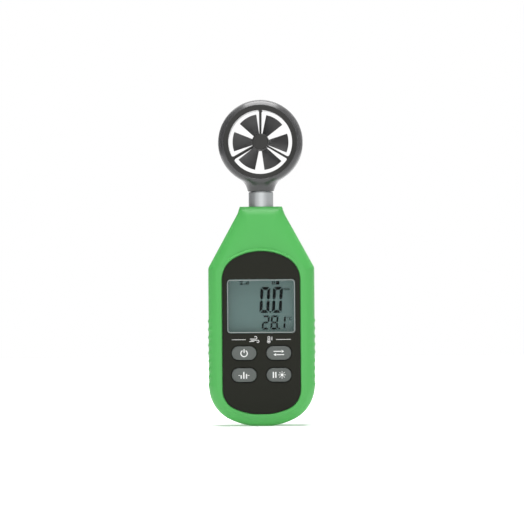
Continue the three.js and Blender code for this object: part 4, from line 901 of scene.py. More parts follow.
key_holes = [loft(at_depths(key_outline(name), *[(KEY_GAP, y) for y in FRONT_CUT])) for name in KEYS]
lens_z = centre_mm("display_window")[2]
lens_size = (lens_high[0] - lens_low[0], lens_high[2] - lens_low[2])
window_hole = rounded_box(0, lens_z, *[size + WINDOW_GAP for size in lens_size], 1.5, *FRONT_CUT)
front_core = loft(core_rings(-1, WALL, 10.5))
carve(front_housing, front_core, window_hole, *key_holes, neck_bore())
dress(front_housing, "leaf_green_plastic", "housing", "housing_plastic", "front_shell")

# %% [markdown]
# The rear half is flat where the battery door lies and falls away above it. Its core leaves the battery well
# standing, because the well shows when the door is open. Screw wells, the door's recess and the slots for its
# tongues are cut last.

# %% Rear half
rear_edge = edge_rings(1, 10)
rear_crease = rear_edge[-1]


def drawn_down(ring, level):
    """The ring's outline with what lies above a level drawn to it, towards the face's centre."""
    result = []
    for x, _, z in ring:
        pull = (level - FACE_CENTRE_Z) / (z - FACE_CENTRE_Z) if z > level else 1.0
        result.append((x * pull, min(z, level)))
    return result


rear_flat = drawn_down(rear_crease, SHOULDER_Z)
rear_housing = make_object("rear_housing", loft([
    *seam_rings(1), *rear_edge, *slope_rings(1, rear_crease, rear_flat, 8), at_level(rear_flat, BACK)]))

cell_low, cell_high = box_mm("battery_cell_1")[0], box_mm("battery_cell_3")[1]
WELL_HALF = cell_high[0] + 0.3
WELL_FOOT, WELL_TOP = cell_low[2] - 4.7, cell_low[2] + 45.5
WELL_INNER = cell_low[1] - 0.3
DOOR_INNER = BACK - 2.0
DOOR_HALF = door_high[0]
DOOR_TOP = door_high[2]
DOOR_BOTTOM = WELL_FOOT - 1.4
print("well", WELL_FOOT, "to", WELL_TOP, "door", DOOR_BOTTOM, "to", DOOR_TOP)

rear_core = make_object("rear_core", loft(core_rings(1, WALL, 11.7)))
well_block = rounded_box(0, (WELL_FOOT + DOOR_TOP) / 2, 2 * WELL_HALF + 5, DOOR_TOP - WELL_FOOT + 3.6, 0.5, -3, 13)
carve(rear_core, well_block)
carve(rear_housing, shape_of(rear_core))

# %% Screw bosses, wells and the door's recess
CASE_SCREWS = ("case_screw_1", "case_screw_2", "case_screw_3", "case_screw_4")
BOSS, SCREW_WELL, PILOT, DOOR_PILOT = 3.0, 2.6, 1.5, 1.7
TONGUE_PLACES = (-10, 10)
DOOR_SCREW_Z = centre_mm("door_screw")[2]
door_z, door_height = (DOOR_BOTTOM + DOOR_TOP) / 2, DOOR_TOP - DOOR_BOTTOM
screw_spots = [(centre_mm(node)[0], centre_mm(node)[2]) for node in CASE_SCREWS]
bosses = [round_pin(x, z, BOSS, SEAM_Y + SEAM / 2, BACK - WALL) for x, z in screw_spots]
carve(rear_housing, *bosses, operation="UNION")
screw_wells = [round_pin(x, z, SCREW_WELL, box_mm(node)[1][1] - 1.95, 16)
               for node, (x, z) in zip(CASE_SCREWS, screw_spots)]
pilots = [round_pin(x, z, PILOT, SEAM_Y, BACK) for x, z in screw_spots]
door_recess = rounded_box(0, door_z, 2 * DOOR_HALF + 0.6, door_height + 0.6, 2.3, DOOR_INNER - CLEARANCE, 16)
pocket = rounded_box(0, (WELL_FOOT + WELL_TOP) / 2, 2 * WELL_HALF, WELL_TOP - WELL_FOOT, 0.4, WELL_INNER, 15)
tongue_slots = [rounded_box(x, 11.1, 6.6, 3.6, 0.2, 9.85, 12.05) for x in TONGUE_PLACES]
door_screw_hole = round_pin(0, DOOR_SCREW_Z, DOOR_PILOT, 6.7, 12.5)
carve(rear_housing, *screw_wells, *pilots, neck_bore(), door_recess, pocket, *tongue_slots, door_screw_hole)
dress(rear_housing, "leaf_green_plastic", "housing", "housing_plastic", "rear_shell")

# %% [markdown]
# A tongue on one half sits in a groove of the other, all round the seam. It keeps dust and light out, and from
# outside it is why the seam is a fine dark line. It is a band between two outlines, cut where the neck passes.

# %% Tongue in the seam
tongue_outer, tongue_inner = housing_outline(0.9, 10, 1), housing_outline(1.7, 10, 1)
TONGUE_HEIGHT = 0.8
corners = ((tongue_outer, -TONGUE_HEIGHT), (tongue_outer, TONGUE_HEIGHT), (tongue_inner, TONGUE_HEIGHT),
           (tongue_inner, -TONGUE_HEIGHT), (tongue_outer, -TONGUE_HEIGHT))
tongue_rings = [[(x, SEAM_Y + rise, z) for x, z in outline] for outline, rise in corners]
tongue = make_object("seam_tongue", loft(tongue_rings, closed=False))
carve(tongue, neck_bore())
dress(tongue, "leaf_green_plastic", "housing", "housing_plastic")

# %% [markdown]
# ## Vane head
#
# The ring is a turned form: a deep band whose two lips roll outwards in a quarter ellipse, with a step inside each
# lip for a guard. On the real part it comes out of the mould in one piece with the socket below it, so the socket
# is turned about the upright axis and joined to it. The pickup sits in the socket and looks at the blades through
# a small square sight.

# %% Head ring
LIP_CENTRE, LIP_DEPTH = 16.6, 5.5
GUARD_RIM, GUARD_THICKNESS = 17.8, 1.35
CREST_RADIUS = GUARD_RIM + 0.2
GUARD_FACE = box_mm("rear_guard")[1][1]
GUARD_SEAT = GUARD_FACE - GUARD_THICKNESS - CLEARANCE
board_high = box_mm("pickup_board")[1]
pickup_high = box_mm("pickup_sensor")[1]

lip_reach = HEAD_RADIUS - LIP_CENTRE
lip_start = acos((CREST_RADIUS - LIP_CENTRE) / lip_reach)
band = HEAD_HALF_DEPTH - LIP_DEPTH * sin(lip_start)
lip = [(LIP_CENTRE + lip_reach * x, band + LIP_DEPTH * y) for x, y in arc(0, 0, 1, lip_start, 0, 18)]
rear_half = [(FLOW_RADIUS + 0.15, GUARD_SEAT), (GUARD_RIM + 0.05, GUARD_SEAT),
             (GUARD_RIM + 0.05, HEAD_HALF_DEPTH - 0.16), (GUARD_RIM + 0.1, HEAD_HALF_DEPTH - 0.05), *lip]
bore = [(FLOW_RADIUS, 0.15 - GUARD_SEAT), (FLOW_RADIUS, GUARD_SEAT - 0.15)]
front_half = [(radius, -y) for radius, y in reversed(rear_half)]
belt = [(HEAD_RADIUS, band * (1 - i / 6)) for i in range(1, 12)]
ring_shape = spin([*rear_half, *belt, *front_half, *bore], "Y", 192)
socket_end, socket_radius, socket_top = ring_low[2] - HEAD_Z, 6.45, 7.9
foot_roll = [(socket_radius - 0.6 + 0.6 * cos(a), socket_end + 0.6 + 0.6 * sin(a))
             for a in (radians(-90 + 15 * i) for i in range(6))]
cone_low, cone_high = socket_end + 0.6, 1.4 - HEAD_RADIUS
cone = [(socket_radius + (socket_top - socket_radius) * i / 9, cone_low + (cone_high - cone_low) * i / 9)
        for i in range(10)]
socket_roof = 3.2 - HEAD_RADIUS
socket = spin([(0, socket_end), *foot_roll, *cone, (socket_top, socket_roof), (0, socket_roof)], "Z", 96)
head_ring = make_object("ring_and_socket", ring_shape)
carve(head_ring, socket, operation="UNION")
print("ring and socket", len(head_ring.data.polygons), "faces")

# %% [markdown]
# A mould leaves no sharp crease where the socket meets the ring: a fillet there lets the plastic flow and keeps it
# from cracking. A bevel on the edge of a joined mesh breaks up where the two forms meet at a shallow angle. So the
# fillet is made from distances: each vertex near the crease moves onto the surface where the smoothed smaller
# distance to the two forms is zero. The faces there are first cut fine enough to bend.

# %% Fill the crease between ring and socket
FILL = 2.4
REACH, CLOSE, LONGEST = -10, 0.04, 0.45


def ring_distance(x, y, z):
    """How far a point is from the ring's rounded outside, in millimetres."""
    across, deep = (hypot(x, z) - LIP_CENTRE) / lip_reach, max(abs(y) - band, 0) / LIP_DEPTH
    size = max(hypot(across, deep), 0.01)
    return (size - 1) * size / hypot(across / lip_reach, deep / LIP_DEPTH)


def socket_distance(x, y, z):
    """How far a point is from the socket's cone."""
    share = min(max((z - cone_low) / (cone_high - cone_low), 0), 1)
    return hypot(x, y) - socket_radius - (socket_top - socket_radius) * share


def filled_distance(point):
    """The smaller of both, taken smoothly, so that the crease fills up like a fillet."""
    first, second = ring_distance(*point), socket_distance(*point)
    near = max(FILL - abs(first - second), 0) / FILL
    return min(first, second) - near * near * FILL / 4, near


shape = shape_of(head_ring)


def crease_points():
    """Vertices on the outside and within reach of the crease."""
    found = []
    for vertex in shape.verts:
        place = vertex.co * 1000
        if place.z < REACH and abs(min(ring_distance(*place), socket_distance(*place))) < CLOSE:
            if filled_distance(place)[1] > 0:
                found.append(vertex)
    return found


for _ in range(2):
    zone = set(crease_points())
    faces = [face for face in shape.faces if zone.issuperset(face.verts) and len(face.verts) > 4]
    bmesh.ops.triangulate(shape, faces=faces)
    long_edges = [edge for edge in shape.edges if zone.issuperset(edge.verts) and edge.calc_length() > LONGEST * MM]
    bmesh.ops.subdivide_edges(shape, edges=long_edges, cuts=1, use_grid_fill=True)
NUDGE = 0.01
nudges = [Vector((NUDGE, 0, 0)), Vector((0, NUDGE, 0)), Vector((0, 0, NUDGE))]
filled = crease_points()
for vertex in filled:
    place = vertex.co * 1000
    for _ in range(4):
        value = filled_distance(place)[0]
        slope = Vector([(filled_distance(place + nudge)[0] - filled_distance(place - nudge)[0]) / (2 * NUDGE)
                        for nudge in nudges])
        place = place - slope * value / slope.length_squared
    vertex.co = place * MM
head_ring = make_object("ring_and_socket", shifted(shape, z=HEAD_Z))
print("crease points moved", len(filled))

# %% [markdown]
# The pickup's board stands in a round hole in the socket, which ends just above the pickup. A square sight leads
# from there into the flow, so that the pickup faces the tips of the blades.

# %% Hollow the socket
cavity_top, cavity_radius = pickup_high[2] + CLEARANCE, board_high[0] + CLEARANCE
cavity_foot = ring_low[2] - 1
cavity = spin([(0, cavity_foot), (cavity_radius, cavity_foot), (cavity_radius, cavity_top), (0, cavity_top)],
              "Z", 96)
sight_half = pickup_high[0] + 0.3
sight = rounded_box(0, (cavity_top + HEAD_Z - FLOW_RADIUS) / 2, 2 * sight_half,
                    HEAD_Z - FLOW_RADIUS - cavity_top + 2, 0.2, -sight_half, sight_half)
carve(head_ring, cavity, sight)
dress(head_ring, "satin_black_plastic", "housing", "head_plastic", "head_ring")

# %% [markdown]
# Each guard is a thin dished rim, three arms and a round cap that holds a bearing. The arms widen into the rim with
# a small round on both sides, so the moulding doesn't crack there. An arm is lofted along its length from rounded
# sections, which gives it soft edges without any bevelling.

# %% Guards
BOSS_RADIUS, BOSS_DEPTH = 3.85, 3.6
ARM_HUB, ARM_RIM, ARM_FILLET = 0.65, 0.95, 1.0
BEARING_RADIUS, BEARING_LENGTH, SHAFT_RADIUS = 1.5, 1.8, 0.6
cap_inner = GUARD_FACE - BOSS_DEPTH
guard_back = GUARD_FACE - GUARD_THICKNESS


def arm_width(radius):
    """Width of an arm: a slow taper, with a round flare where it meets the rim."""
    width = ARM_HUB + (ARM_RIM - ARM_HUB) * (radius - BOSS_RADIUS) / (FLOW_RADIUS - BOSS_RADIUS)
    near = min(ARM_FILLET, max(0.0, radius - FLOW_RADIUS + ARM_FILLET))
    return width + 2 * (ARM_FILLET - sqrt(ARM_FILLET ** 2 - near ** 2))


def arm_shape(angle):
    """One arm, lofted outwards from the cap into the rim."""
    soft = 0.18
    stations = [3.0, 3.6, 4.2, 6, 8, 10, 12, 13.5]
    stations += [FLOW_RADIUS - ARM_FILLET + ARM_FILLET * sin(radians(9 * i)) for i in range(11)]
    rings = []
    for radius in [*stations, FLOW_RADIUS + 0.6]:
        half = arm_width(min(radius, FLOW_RADIUS)) / 2
        front = GUARD_FACE - 0.3 - 0.2 * (radius - BOSS_RADIUS) / (FLOW_RADIUS - BOSS_RADIUS)
        middle, tall = (front + guard_back) / 2, (front - guard_back) / 2
        corners = []
        for quarter, (x, z) in enumerate(((1, 1), (-1, 1), (-1, -1), (1, -1))):
            corners += arc(x * (half - soft), z * (tall - soft), soft, quarter * pi / 2, (quarter + 1) * pi / 2, 4)
        rings.append([(side, middle + up, radius) for side, up in corners])
    shape = loft(rings)
    bmesh.ops.rotate(shape, verts=shape.verts, cent=(0, 0, 0), matrix=Matrix.Rotation(angle, 3, "Y"))
    return shape


def guard_object(name, side):
    """A guard for the rear (side 1) or the front (side -1)."""
    rim = spin([(FLOW_RADIUS + 0.25, guard_back), (GUARD_RIM - 0.1, guard_back), (GUARD_RIM, guard_back + 0.1),
                (GUARD_RIM, GUARD_FACE + 0.2), (GUARD_RIM - 0.3, GUARD_FACE + 0.16),
                (FLOW_RADIUS + 0.3, GUARD_FACE - 0.42), (FLOW_RADIUS + 0.1, GUARD_FACE - 0.5),
                (FLOW_RADIUS, GUARD_FACE - 0.68), (FLOW_RADIUS, guard_back + 0.25)], "Y", 192)
    hole, nest = SHAFT_RADIUS + CLEARANCE, BEARING_RADIUS + CLEARANCE
    nest_end = cap_inner + BEARING_LENGTH + CLEARANCE
    cap = spin([(0, GUARD_FACE - 0.9), (hole, GUARD_FACE - 0.9), (hole, nest_end), (nest, nest_end),
                (nest, cap_inner), (BOSS_RADIUS, cap_inner), (BOSS_RADIUS, GUARD_FACE - 0.32),
                (BOSS_RADIUS - 0.06, GUARD_FACE - 0.16), (BOSS_RADIUS - 0.2, GUARD_FACE - 0.05),
                (BOSS_RADIUS - 0.42, GUARD_FACE), (0, GUARD_FACE)], "Y", 96)
    guard = make_object(name, rim)
    carve(guard, cap, *[arm_shape(turn * 2 * pi / 3) for turn in range(3)], operation="UNION")
    shape = shape_of(guard)
    if side < 0:
        bmesh.ops.scale(shape, vec=(1, -1, 1), verts=shape.verts)
        bmesh.ops.reverse_faces(shape, faces=shape.faces)
    return make_object(name, shifted(shape, z=HEAD_Z))


dress(guard_object("front_wind_guard", -1), "guard_black_plastic", "housing", "head_plastic", "front_guard")
dress(guard_object("rear_wind_guard", 1), "guard_black_plastic", "housing", "head_plastic", "rear_guard")

# %% [markdown]
# The vane wheel has six blades. Each is a stretch of a screw surface between two radial edges, so its pitch is
# steep at the hub and flat at the tip. A grid is laid on that surface, thickened, and its edges are rounded.

# %% Vane wheel
BLADE_COUNT, BLADE_TIP, BLADE_SPAN, BLADE_FIRST = 6, 13.6, 40, 58
BLADE_DEPTH, BLADE_THICKNESS = 5.6, 0.7
HUB_RADIUS, HUB_HALF = 4.25, 3.6


def blade_shape(middle):
    """One blade whose middle is at an angle about the wind axis."""
    shape = bmesh.new()
    bmesh.ops.create_grid(shape, x_segments=16, y_segments=22, size=1)
    root = HUB_RADIUS - 0.6
    for vertex in shape.verts:
        radius = root + (BLADE_TIP - root) * (vertex.co.x + 1) / 2
        angle = radians(middle + BLADE_SPAN / 2 * vertex.co.y)
        reach = (BLADE_DEPTH - BLADE_THICKNESS) / 2 * vertex.co.y - BLADE_THICKNESS / 2
        vertex.co = mm((radius * cos(angle), reach, radius * sin(angle)))
    drawn = bmesh.ops.extrude_face_region(shape, geom=shape.faces[:])["geom"]
    bmesh.ops.translate(shape, verts=[part for part in drawn if isinstance(part, bmesh.types.BMVert)],
                        vec=mm((0, BLADE_THICKNESS, 0)))
    bmesh.ops.recalc_face_normals(shape, faces=shape.faces)
    return soften(shape, 0.2, 3, 50)


hub_hole = SHAFT_RADIUS + CLEARANCE
hub = spin([(hub_hole, -HUB_HALF), (HUB_RADIUS - 0.6, -HUB_HALF), (HUB_RADIUS - 0.2, 0.15 - HUB_HALF),
            (HUB_RADIUS, 0.6 - HUB_HALF), (HUB_RADIUS, HUB_HALF - 0.6), (HUB_RADIUS - 0.2, HUB_HALF - 0.15),
            (HUB_RADIUS - 0.6, HUB_HALF), (hub_hole, HUB_HALF)], "Y", 96)
vane = make_object("vane_wheel", hub)
blades = [blade_shape(BLADE_FIRST + 360 / BLADE_COUNT * i) for i in range(BLADE_COUNT)]
carve(vane, *blades, operation="UNION")
vane.data.transform(Matrix.Translation(mm((0, 0, HEAD_Z))))
dress(vane, "vane_black_plastic", "impeller", "vane_plastic", "impeller")

# %% Shaft and bearings
reach = box_mm("impeller_shaft")[1][1]
shaft_shape = spin([(0, -reach), (SHAFT_RADIUS - 0.12, -reach), (SHAFT_RADIUS, 0.12 - reach),
                    (SHAFT_RADIUS, reach - 0.12), (SHAFT_RADIUS - 0.12, reach), (0, reach)], "Y", 48)
dress(make_object("vane_shaft", shifted(shaft_shape, z=HEAD_Z)), "plated_steel", "impeller", "bright_steel",
      "impeller_shaft")
for name, node in (("front_bush", "front_bearing"), ("rear_bush", "rear_bearing")):
    low, high = box_mm(node)
    bush = spin([(SHAFT_RADIUS + 0.1, low[1]), (BEARING_RADIUS - 0.12, low[1]), (BEARING_RADIUS, low[1] + 0.12),
                 (BEARING_RADIUS, high[1] - 0.12), (BEARING_RADIUS - 0.12, high[1]), (SHAFT_RADIUS + 0.1, high[1])],
                "Y", 48)
    dress(make_object(name, shifted(bush, z=HEAD_Z)), "turned_brass", "housing", "bearing_brass", node)

# %% [markdown]
# ## Neck tube
#
# A short length of aluminium tube joins head and housing. It is turned on a lathe and satin anodised, so its marks
# run round it. A flange inside the housing keeps it from pulling out, and a thinner spigot enters the head.

# %% Neck tube
TUBE_RADIUS, TUBE_BORE, FLANGE_RADIUS = 6.0, 4.5, 7.4
flange_top = HOUSING_TOP - 9.0
shoulder_z = ring_low[2] - CLEARANCE
tube_bottom, tube_top = tube_low[2], tube_high[2]
spigot = board_high[0]
tube_shape = spin([
    (TUBE_BORE, tube_bottom + 0.2), (TUBE_BORE + 0.2, tube_bottom), (TUBE_RADIUS - 0.2, tube_bottom),
    (TUBE_RADIUS, tube_bottom + 0.2), (TUBE_RADIUS, flange_top - 2), (FLANGE_RADIUS - 0.2, flange_top - 2),
    (FLANGE_RADIUS, flange_top - 1.8), (FLANGE_RADIUS, flange_top - 0.2), (FLANGE_RADIUS - 0.2, flange_top),
    (TUBE_RADIUS, flange_top), (TUBE_RADIUS, shoulder_z - 0.2), (TUBE_RADIUS - 0.2, shoulder_z),
    (spigot, shoulder_z), (spigot, tube_top - 0.2), (spigot - 0.2, tube_top), (TUBE_BORE, tube_top)], "Z", 128)
dress(make_object("turned_neck_tube", tube_shape), "satin_aluminium", "housing", "satin_aluminium", "neck_tube")

# %% [markdown]
# ## Face plate, lens and display
#
# The face plate is a thin charcoal sheet dropped into the housing's recess. Holes are punched for the lens and the
# keys, and every edge is broken a little. The lens is a rounded acrylic block with a flange behind the plate. Its
# bevel faces get a light grey material, a painted highlight for the light the bevel catches, which draws a thin
# bright line round the display.

# %% Face plate
PANEL_FRONT, PANEL_BACK = panel_low[1], panel_high[1]
LENS_FLANGE = 1.1
lens_width, lens_height = lens_size[0] - 2 * LENS_FLANGE, lens_size[1] - 2 * LENS_FLANGE


def punch(outline_of, grow):
    """A cutter for a hole whose front edge is broken by 0.12."""
    return loft(at_depths(outline_of, (grow + 0.62, PANEL_FRONT - 0.5), (grow, PANEL_FRONT + 0.12),
                          (grow, PANEL_BACK + 0.5)))


plate_shape = loft(at_depths(lambda grow: panel_outline(-grow), (-0.15, PANEL_FRONT), (-0.04, PANEL_FRONT + 0.04),
                             (0, PANEL_FRONT + 0.15), (0, PANEL_BACK)))
face_plate = make_object("charcoal_face_plate", plate_shape)
lens_outline = box_outline(0, lens_z, lens_width, lens_height, 1.5)
carve(face_plate, punch(lens_outline, CLEARANCE), *[punch(key_outline(name), 0.3) for name in KEYS])
dress(face_plate, "charcoal_panel", "housing", "panel_plastic", "face_panel")

# %% Lens
lens_front, lens_back = lens_low[1], lens_high[1]
lens_shape = loft([
    *at_depths(lens_outline, (-0.42, lens_front), (-0.34, lens_front + 0.02), (-0.08, lens_front + 0.26),
               (0, lens_front + 0.4), (0, RECESS_Y)),
    *at_depths(lens_outline, (LENS_FLANGE, RECESS_Y), (LENS_FLANGE, lens_back)),
])
lens = make_object("acrylic_lens", lens_shape)
lens.data.materials.append(materials["clear_acrylic"])
lens.data.materials.append(materials["painted_lens_rim_highlight"])
# Bevel faces take the light grey material: a painted highlight round the display.
for face in lens.data.polygons:
    is_bevel = face.center.y < (lens_front + 0.4) * MM and abs(face.normal.y) < 0.98
    face.material_index = 1 if is_bevel else 0
dress(lens, "clear_acrylic", "housing", "window_plastic", "display_window")

# %% [markdown]
# ## Keys
#
# The keys are silicone rubber caps. Each has a pillowed top, a flange that keeps it behind the housing's floor, and
# a stem that presses the mat on the circuit board. One loft makes all of it, from the crown of the cap backwards,
# because stem, flange and cap have outlines with the same number of points.

# %% Key caps
key_front, key_foot = (corner[1] for corner in box_mm("power_key"))
KEY_FLANGE, KEY_STEM = 1.1, 2.5
FLANGE_BACK = 0.8
CROWN_STEPS = ((-2.6, 0.02), (-1.3, 0.045), (-0.75, 0.10), (-0.4, 0.20), (-0.15, 0.36), (-0.03, 0.56), (0, 0.8))
key_flange = RECESS_Y + 1.8 + CLEARANCE


def key_shape(name):
    """One key: crowned cap, flange and stem."""
    def stem(y):
        x, z = key_centres[name]
        return [(px, y, pz) for px, pz in obround(x, z, 2 * KEY_STEM, 2 * KEY_STEM, 0)]

    crown = [(grow, key_front + fall) for grow, fall in CROWN_STEPS]
    cap = at_depths(key_outline(name), *crown, (0, key_flange))
    flange_end = key_flange + FLANGE_BACK
    flange = at_depths(key_outline(name), (KEY_FLANGE, key_flange), (KEY_FLANGE, flange_end))
    return loft([*cap, *flange, stem(flange_end), stem(key_foot)])


for name in KEYS:
    dress(make_object(name.replace("_key", "_rubber_key"), key_shape(name)), "key_rubber", name, "key_rubber", name)

# %% [markdown]
# ## Printed signs
#
# Signs are drawn as ribbons: a line with a width and round ends. A ribbon's outline is closed and given the
# thickness of a layer of ink. The keys carry plain signs instead of words: power, change of unit, bars with their
# mean, and pause with a lamp. The two signs under the display stand for wind and temperature.

# %% Ribbons and plates of ink
def ribbon(points, width, steps=8):
    """Outline of a line of some width with round ends."""
    spots = [Vector(point) for point in points]
    runs = [(b - a).normalized() for a, b in zip(spots, spots[1:])]
    sides = []
    for before, after in zip([runs[0], *runs], [*runs, runs[-1]]):
        lean = (before + after).normalized()
        sides.append(Vector((-lean.y, lean.x)) / max(0.5, lean.dot(before)))
    half = width / 2
    left = [spot + half * side for spot, side in zip(spots, sides)]
    right = [spot - half * side for spot, side in zip(spots, sides)]
    end_turn, start_turn = atan2(runs[-1].y, runs[-1].x), atan2(-runs[0].y, -runs[0].x)
    end_cap = arc(*spots[-1], half, end_turn - pi / 2, end_turn + pi / 2, steps)
    start_cap = arc(*spots[0], half, start_turn - pi / 2, start_turn + pi / 2, steps)
    return [*map(tuple, right[:-1]), *end_cap, *map(tuple, reversed(left[1:-1])), *start_cap[:-1]]


def disc(x, z, radius, steps=32):
    """The outline of a round mark."""
    return arc(x, z, radius, 0, 2 * pi, steps)[:-1]


def ink(name, outlines, front, back, x=0.0, z=0.0):
    """Thin plates from outlines, shifted and gathered in one object."""
    whole = bmesh.new()
    for outline in outlines:
        plate = loft([[(px + x, y, pz + z) for px, pz in outline] for y in (front, back)])
        mesh = bpy.data.meshes.new("plate")
        plate.to_mesh(mesh)
        plate.free()
        whole.from_mesh(mesh)
        bpy.data.meshes.remove(mesh)
    return make_object(name, whole)


# %% Signs on the keys
def ray(x, z, angle, start, end):
    """The two ends of a stroke that points away from x, z."""
    return [(x + start * cos(angle), z + start * sin(angle)), (x + end * cos(angle), z + end * sin(angle))]


power_sign = [ribbon(arc(0, -0.1, 1.55, radians(128), radians(412), 40), 0.5), ribbon([(0, 0.35), (0, 1.75)], 0.5)]
unit_sign = [ribbon([(-2.4, 0.8), (1.0, 0.8)], 0.46), [(1.35, 1.5), (2.6, 0.8), (1.35, 0.1)],
             ribbon([(2.4, -0.8), (-1.0, -0.8)], 0.46), [(-1.35, -0.1), (-2.6, -0.8), (-1.35, -1.5)]]
bars_sign = [ribbon([(x, -1.5), (x, top)], 0.62) for x, top in ((-1.5, -0.3), (-0.2, 1.3), (1.1, 0.3))]
bars_sign += [ribbon([(-2.7, -0.15), (-2.15, -0.15)], 0.32), ribbon([(1.75, -0.15), (2.4, -0.15)], 0.32)]
lamp_sign = [ribbon([(x, -1.2), (x, 1.2)], 0.62) for x in (-2.7, -1.5)]
lamp_sign += [disc(1.5, 0, 0.72), *[ribbon(ray(1.5, 0, i * pi / 4, 1.15, 1.65), 0.3) for i in range(8)]]
for name, sign in zip(KEYS, (power_sign, unit_sign, bars_sign, lamp_sign)):
    x, z = key_centres[name]
    print_layer = ink(name.replace("_key", "_sign"), sign, key_front + 0.008, key_front + 0.1, x, z)
    dress(print_layer, "print_white", name, "key_rubber")

# %% Signs on the face plate
def curl(x, z, length, radius, up, steps=20):
    """A gust: a straight run that curls back on itself."""
    turn = 1 if up else -1
    bow = [(x + length + radius * sin(a), z + turn * (radius - radius * cos(a)))
           for a in (radians(235) * i / steps for i in range(steps + 1))]
    return [(x, z), *bow]


sign_z = (lens_z - lens_height / 2 + key_centres["power_key"][1] + KEY_SIZE[1] / 2) / 2
wind_sign = [ribbon(curl(-5.4, 0.3, 2.6, 0.62, True), 0.28), ribbon(curl(-5.0, -0.3, 3.3, 0.55, False), 0.28),
             ribbon([(-5.7, -0.9), (-3.6, -0.9)], 0.28)]
bulb = arc(3.6, -0.95, 0.72, radians(125), radians(415), 28)
stem = [(4.01, 1.1), *arc(3.6, 1.1, 0.41, 0, pi, 10)[1:-1], (3.19, 1.1), (3.19, -0.1)]
thermometer_sign = [ribbon([*bulb, *stem], 0.22), ribbon([(3.6, -0.35), (3.6, 0.6)], 0.2), disc(3.6, -0.95, 0.38),
                    *[ribbon([(4.6, level), (5.3, level)], 0.22) for level in (1.1, 0.5, -0.1)]]
hairlines = [ribbon([(-14.2, 0), (-7.6, 0)], 0.22), ribbon([(7.2, 0), (14.2, 0)], 0.22)]
face_print = ink("face_signs", [*wind_sign, *thermometer_sign, *hairlines], PANEL_FRONT - 0.012, PANEL_FRONT + 0.05,
                 0, sign_z)
dress(face_print, "print_white", "housing", "panel_plastic")

# %% [markdown]
# ## Display
#
# The liquid crystal shows black seven-segment figures on grey, as this kind of meter does: wind speed large and
# temperature small. Segments meet at mitred corners with a fine gap between them, since each is its own electrode.
# The figures lean a little, like handwriting, which the display's makers do to keep the thin ones legible.

# %% Seven-segment figures
SEGMENTS = {"0": "abcdef", "1": "bc", "2": "abged", "8": "abcdefg"}
LEAN = 0.06


def figure(sign, x, z, width, height, thick, gap=0.12):
    """Outlines of one figure whose lower left corner is at x, z. Two segments and their mirror images make all."""
    middle, cut = height / 2, thick / 4
    level = [(gap + cut, height), (width - gap - cut, height), (width - thick - gap, height - thick),
             (thick + gap, height - thick)]
    upright = [(width, height - gap - cut), (width, middle + thick / 2 + gap), (width - thick / 2, middle + gap),
               (width - thick, middle + thick / 2 + gap), (width - thick, height - thick - gap)]
    bar = [(gap + thick / 2, middle), (gap + thick, middle + thick / 2), (width - thick - gap, middle + thick / 2)]
    bar += [(width - px, height - pz) for px, pz in bar]

    def leftwards(shape):
        return [(width - px, pz) for px, pz in reversed(shape)]

    def downwards(shape):
        return [(px, height - pz) for px, pz in reversed(shape)]

    parts = {"a": level, "b": upright, "c": downwards(upright), "d": downwards(level),
             "e": downwards(leftwards(upright)), "f": leftwards(upright), "g": bar}
    return [[(x + px + LEAN * pz, z + pz) for px, pz in parts[letter]] for letter in SEGMENTS[sign]]


def lettering(name, words, size, x, z, front):
    """A word as a thin standing mesh, for a unit."""
    text = bpy.data.curves.new(name, "FONT")
    text.body = words
    text.size = size * MM
    text.extrude = 0.01 * MM
    text.offset = 0.05 * MM
    text.space_character = 1.1
    holder = bpy.data.objects.new(name, text)
    mesh = bpy.data.meshes.new_from_object(holder)
    bpy.data.objects.remove(holder)
    bpy.data.curves.remove(text)
    mesh.transform(Matrix.Translation(mm((x, front, z))) @ Matrix.Rotation(pi / 2, 4, "X"))
    obj = bpy.data.objects.new(name, mesh)
    scene.collection.objects.link(obj)
    return obj


glass_front = box_mm("lcd_glass")[0][1]
ink_front, ink_back = glass_front - 0.05, glass_front - 0.02
base = lens_z - lens_height / 2
LARGE, SMALL = (4.8, 12.6, 1.5), (3.6, 6.8, 0.92)
speed_foot, warmth_foot, marks_foot = base + 9.6, base + 1.6, base + 23.3
figures = [*figure("0", -1.0, speed_foot, *LARGE), *figure("0", 5.05, speed_foot, *LARGE),
           disc(4.42, speed_foot + 0.5, 0.45), *figure("2", 0.1, warmth_foot, *SMALL),
           *figure("8", 4.3, warmth_foot, *SMALL), disc(8.62, warmth_foot + 0.45, 0.45),
           *figure("1", 7.9, warmth_foot, *SMALL)]


def upright_bar(x, width, height):
    """A small standing bar in the row of marks."""
    return [(x, marks_foot), (x + width, marks_foot), (x + width, marks_foot + height), (x, marks_foot + height)]


marks = [[(-10.4, marks_foot), (-8.6, marks_foot), (-9.5, marks_foot + 1.2)],
         ribbon([(-10.2, marks_foot + 1.55), (-8.8, marks_foot + 1.55)], 0.4)]
bars = ((-8.1, 0.6), (-7.3, 1.15), (-6.5, 1.7), (5.2, 1.6), (6.1, 1.6))
marks += [upright_bar(x, 0.55, height) for x, height in bars]
marks.append(upright_bar(7.2, 1.6, 1.6))
dress(ink("display_figures", [*figures, *marks], ink_front, ink_back), "display_ink", "housing", "display")
dress(lettering("speed_unit", "m/s", 1.9, 10.9, base + 20.6, ink_front), "display_ink", "housing", "display")
dress(lettering("warmth_unit", "°C", 2.0, 12.4, base + 6.2, ink_front), "display_ink", "housing", "display")

# %% [markdown]
# ## Back of the meter
#
# The battery door lies flush in the back. Two tongues at its foot hook under the housing, and a screw holds its
# top. Four case screws sit deep in their wells. All screws have a domed head with a cross recess.

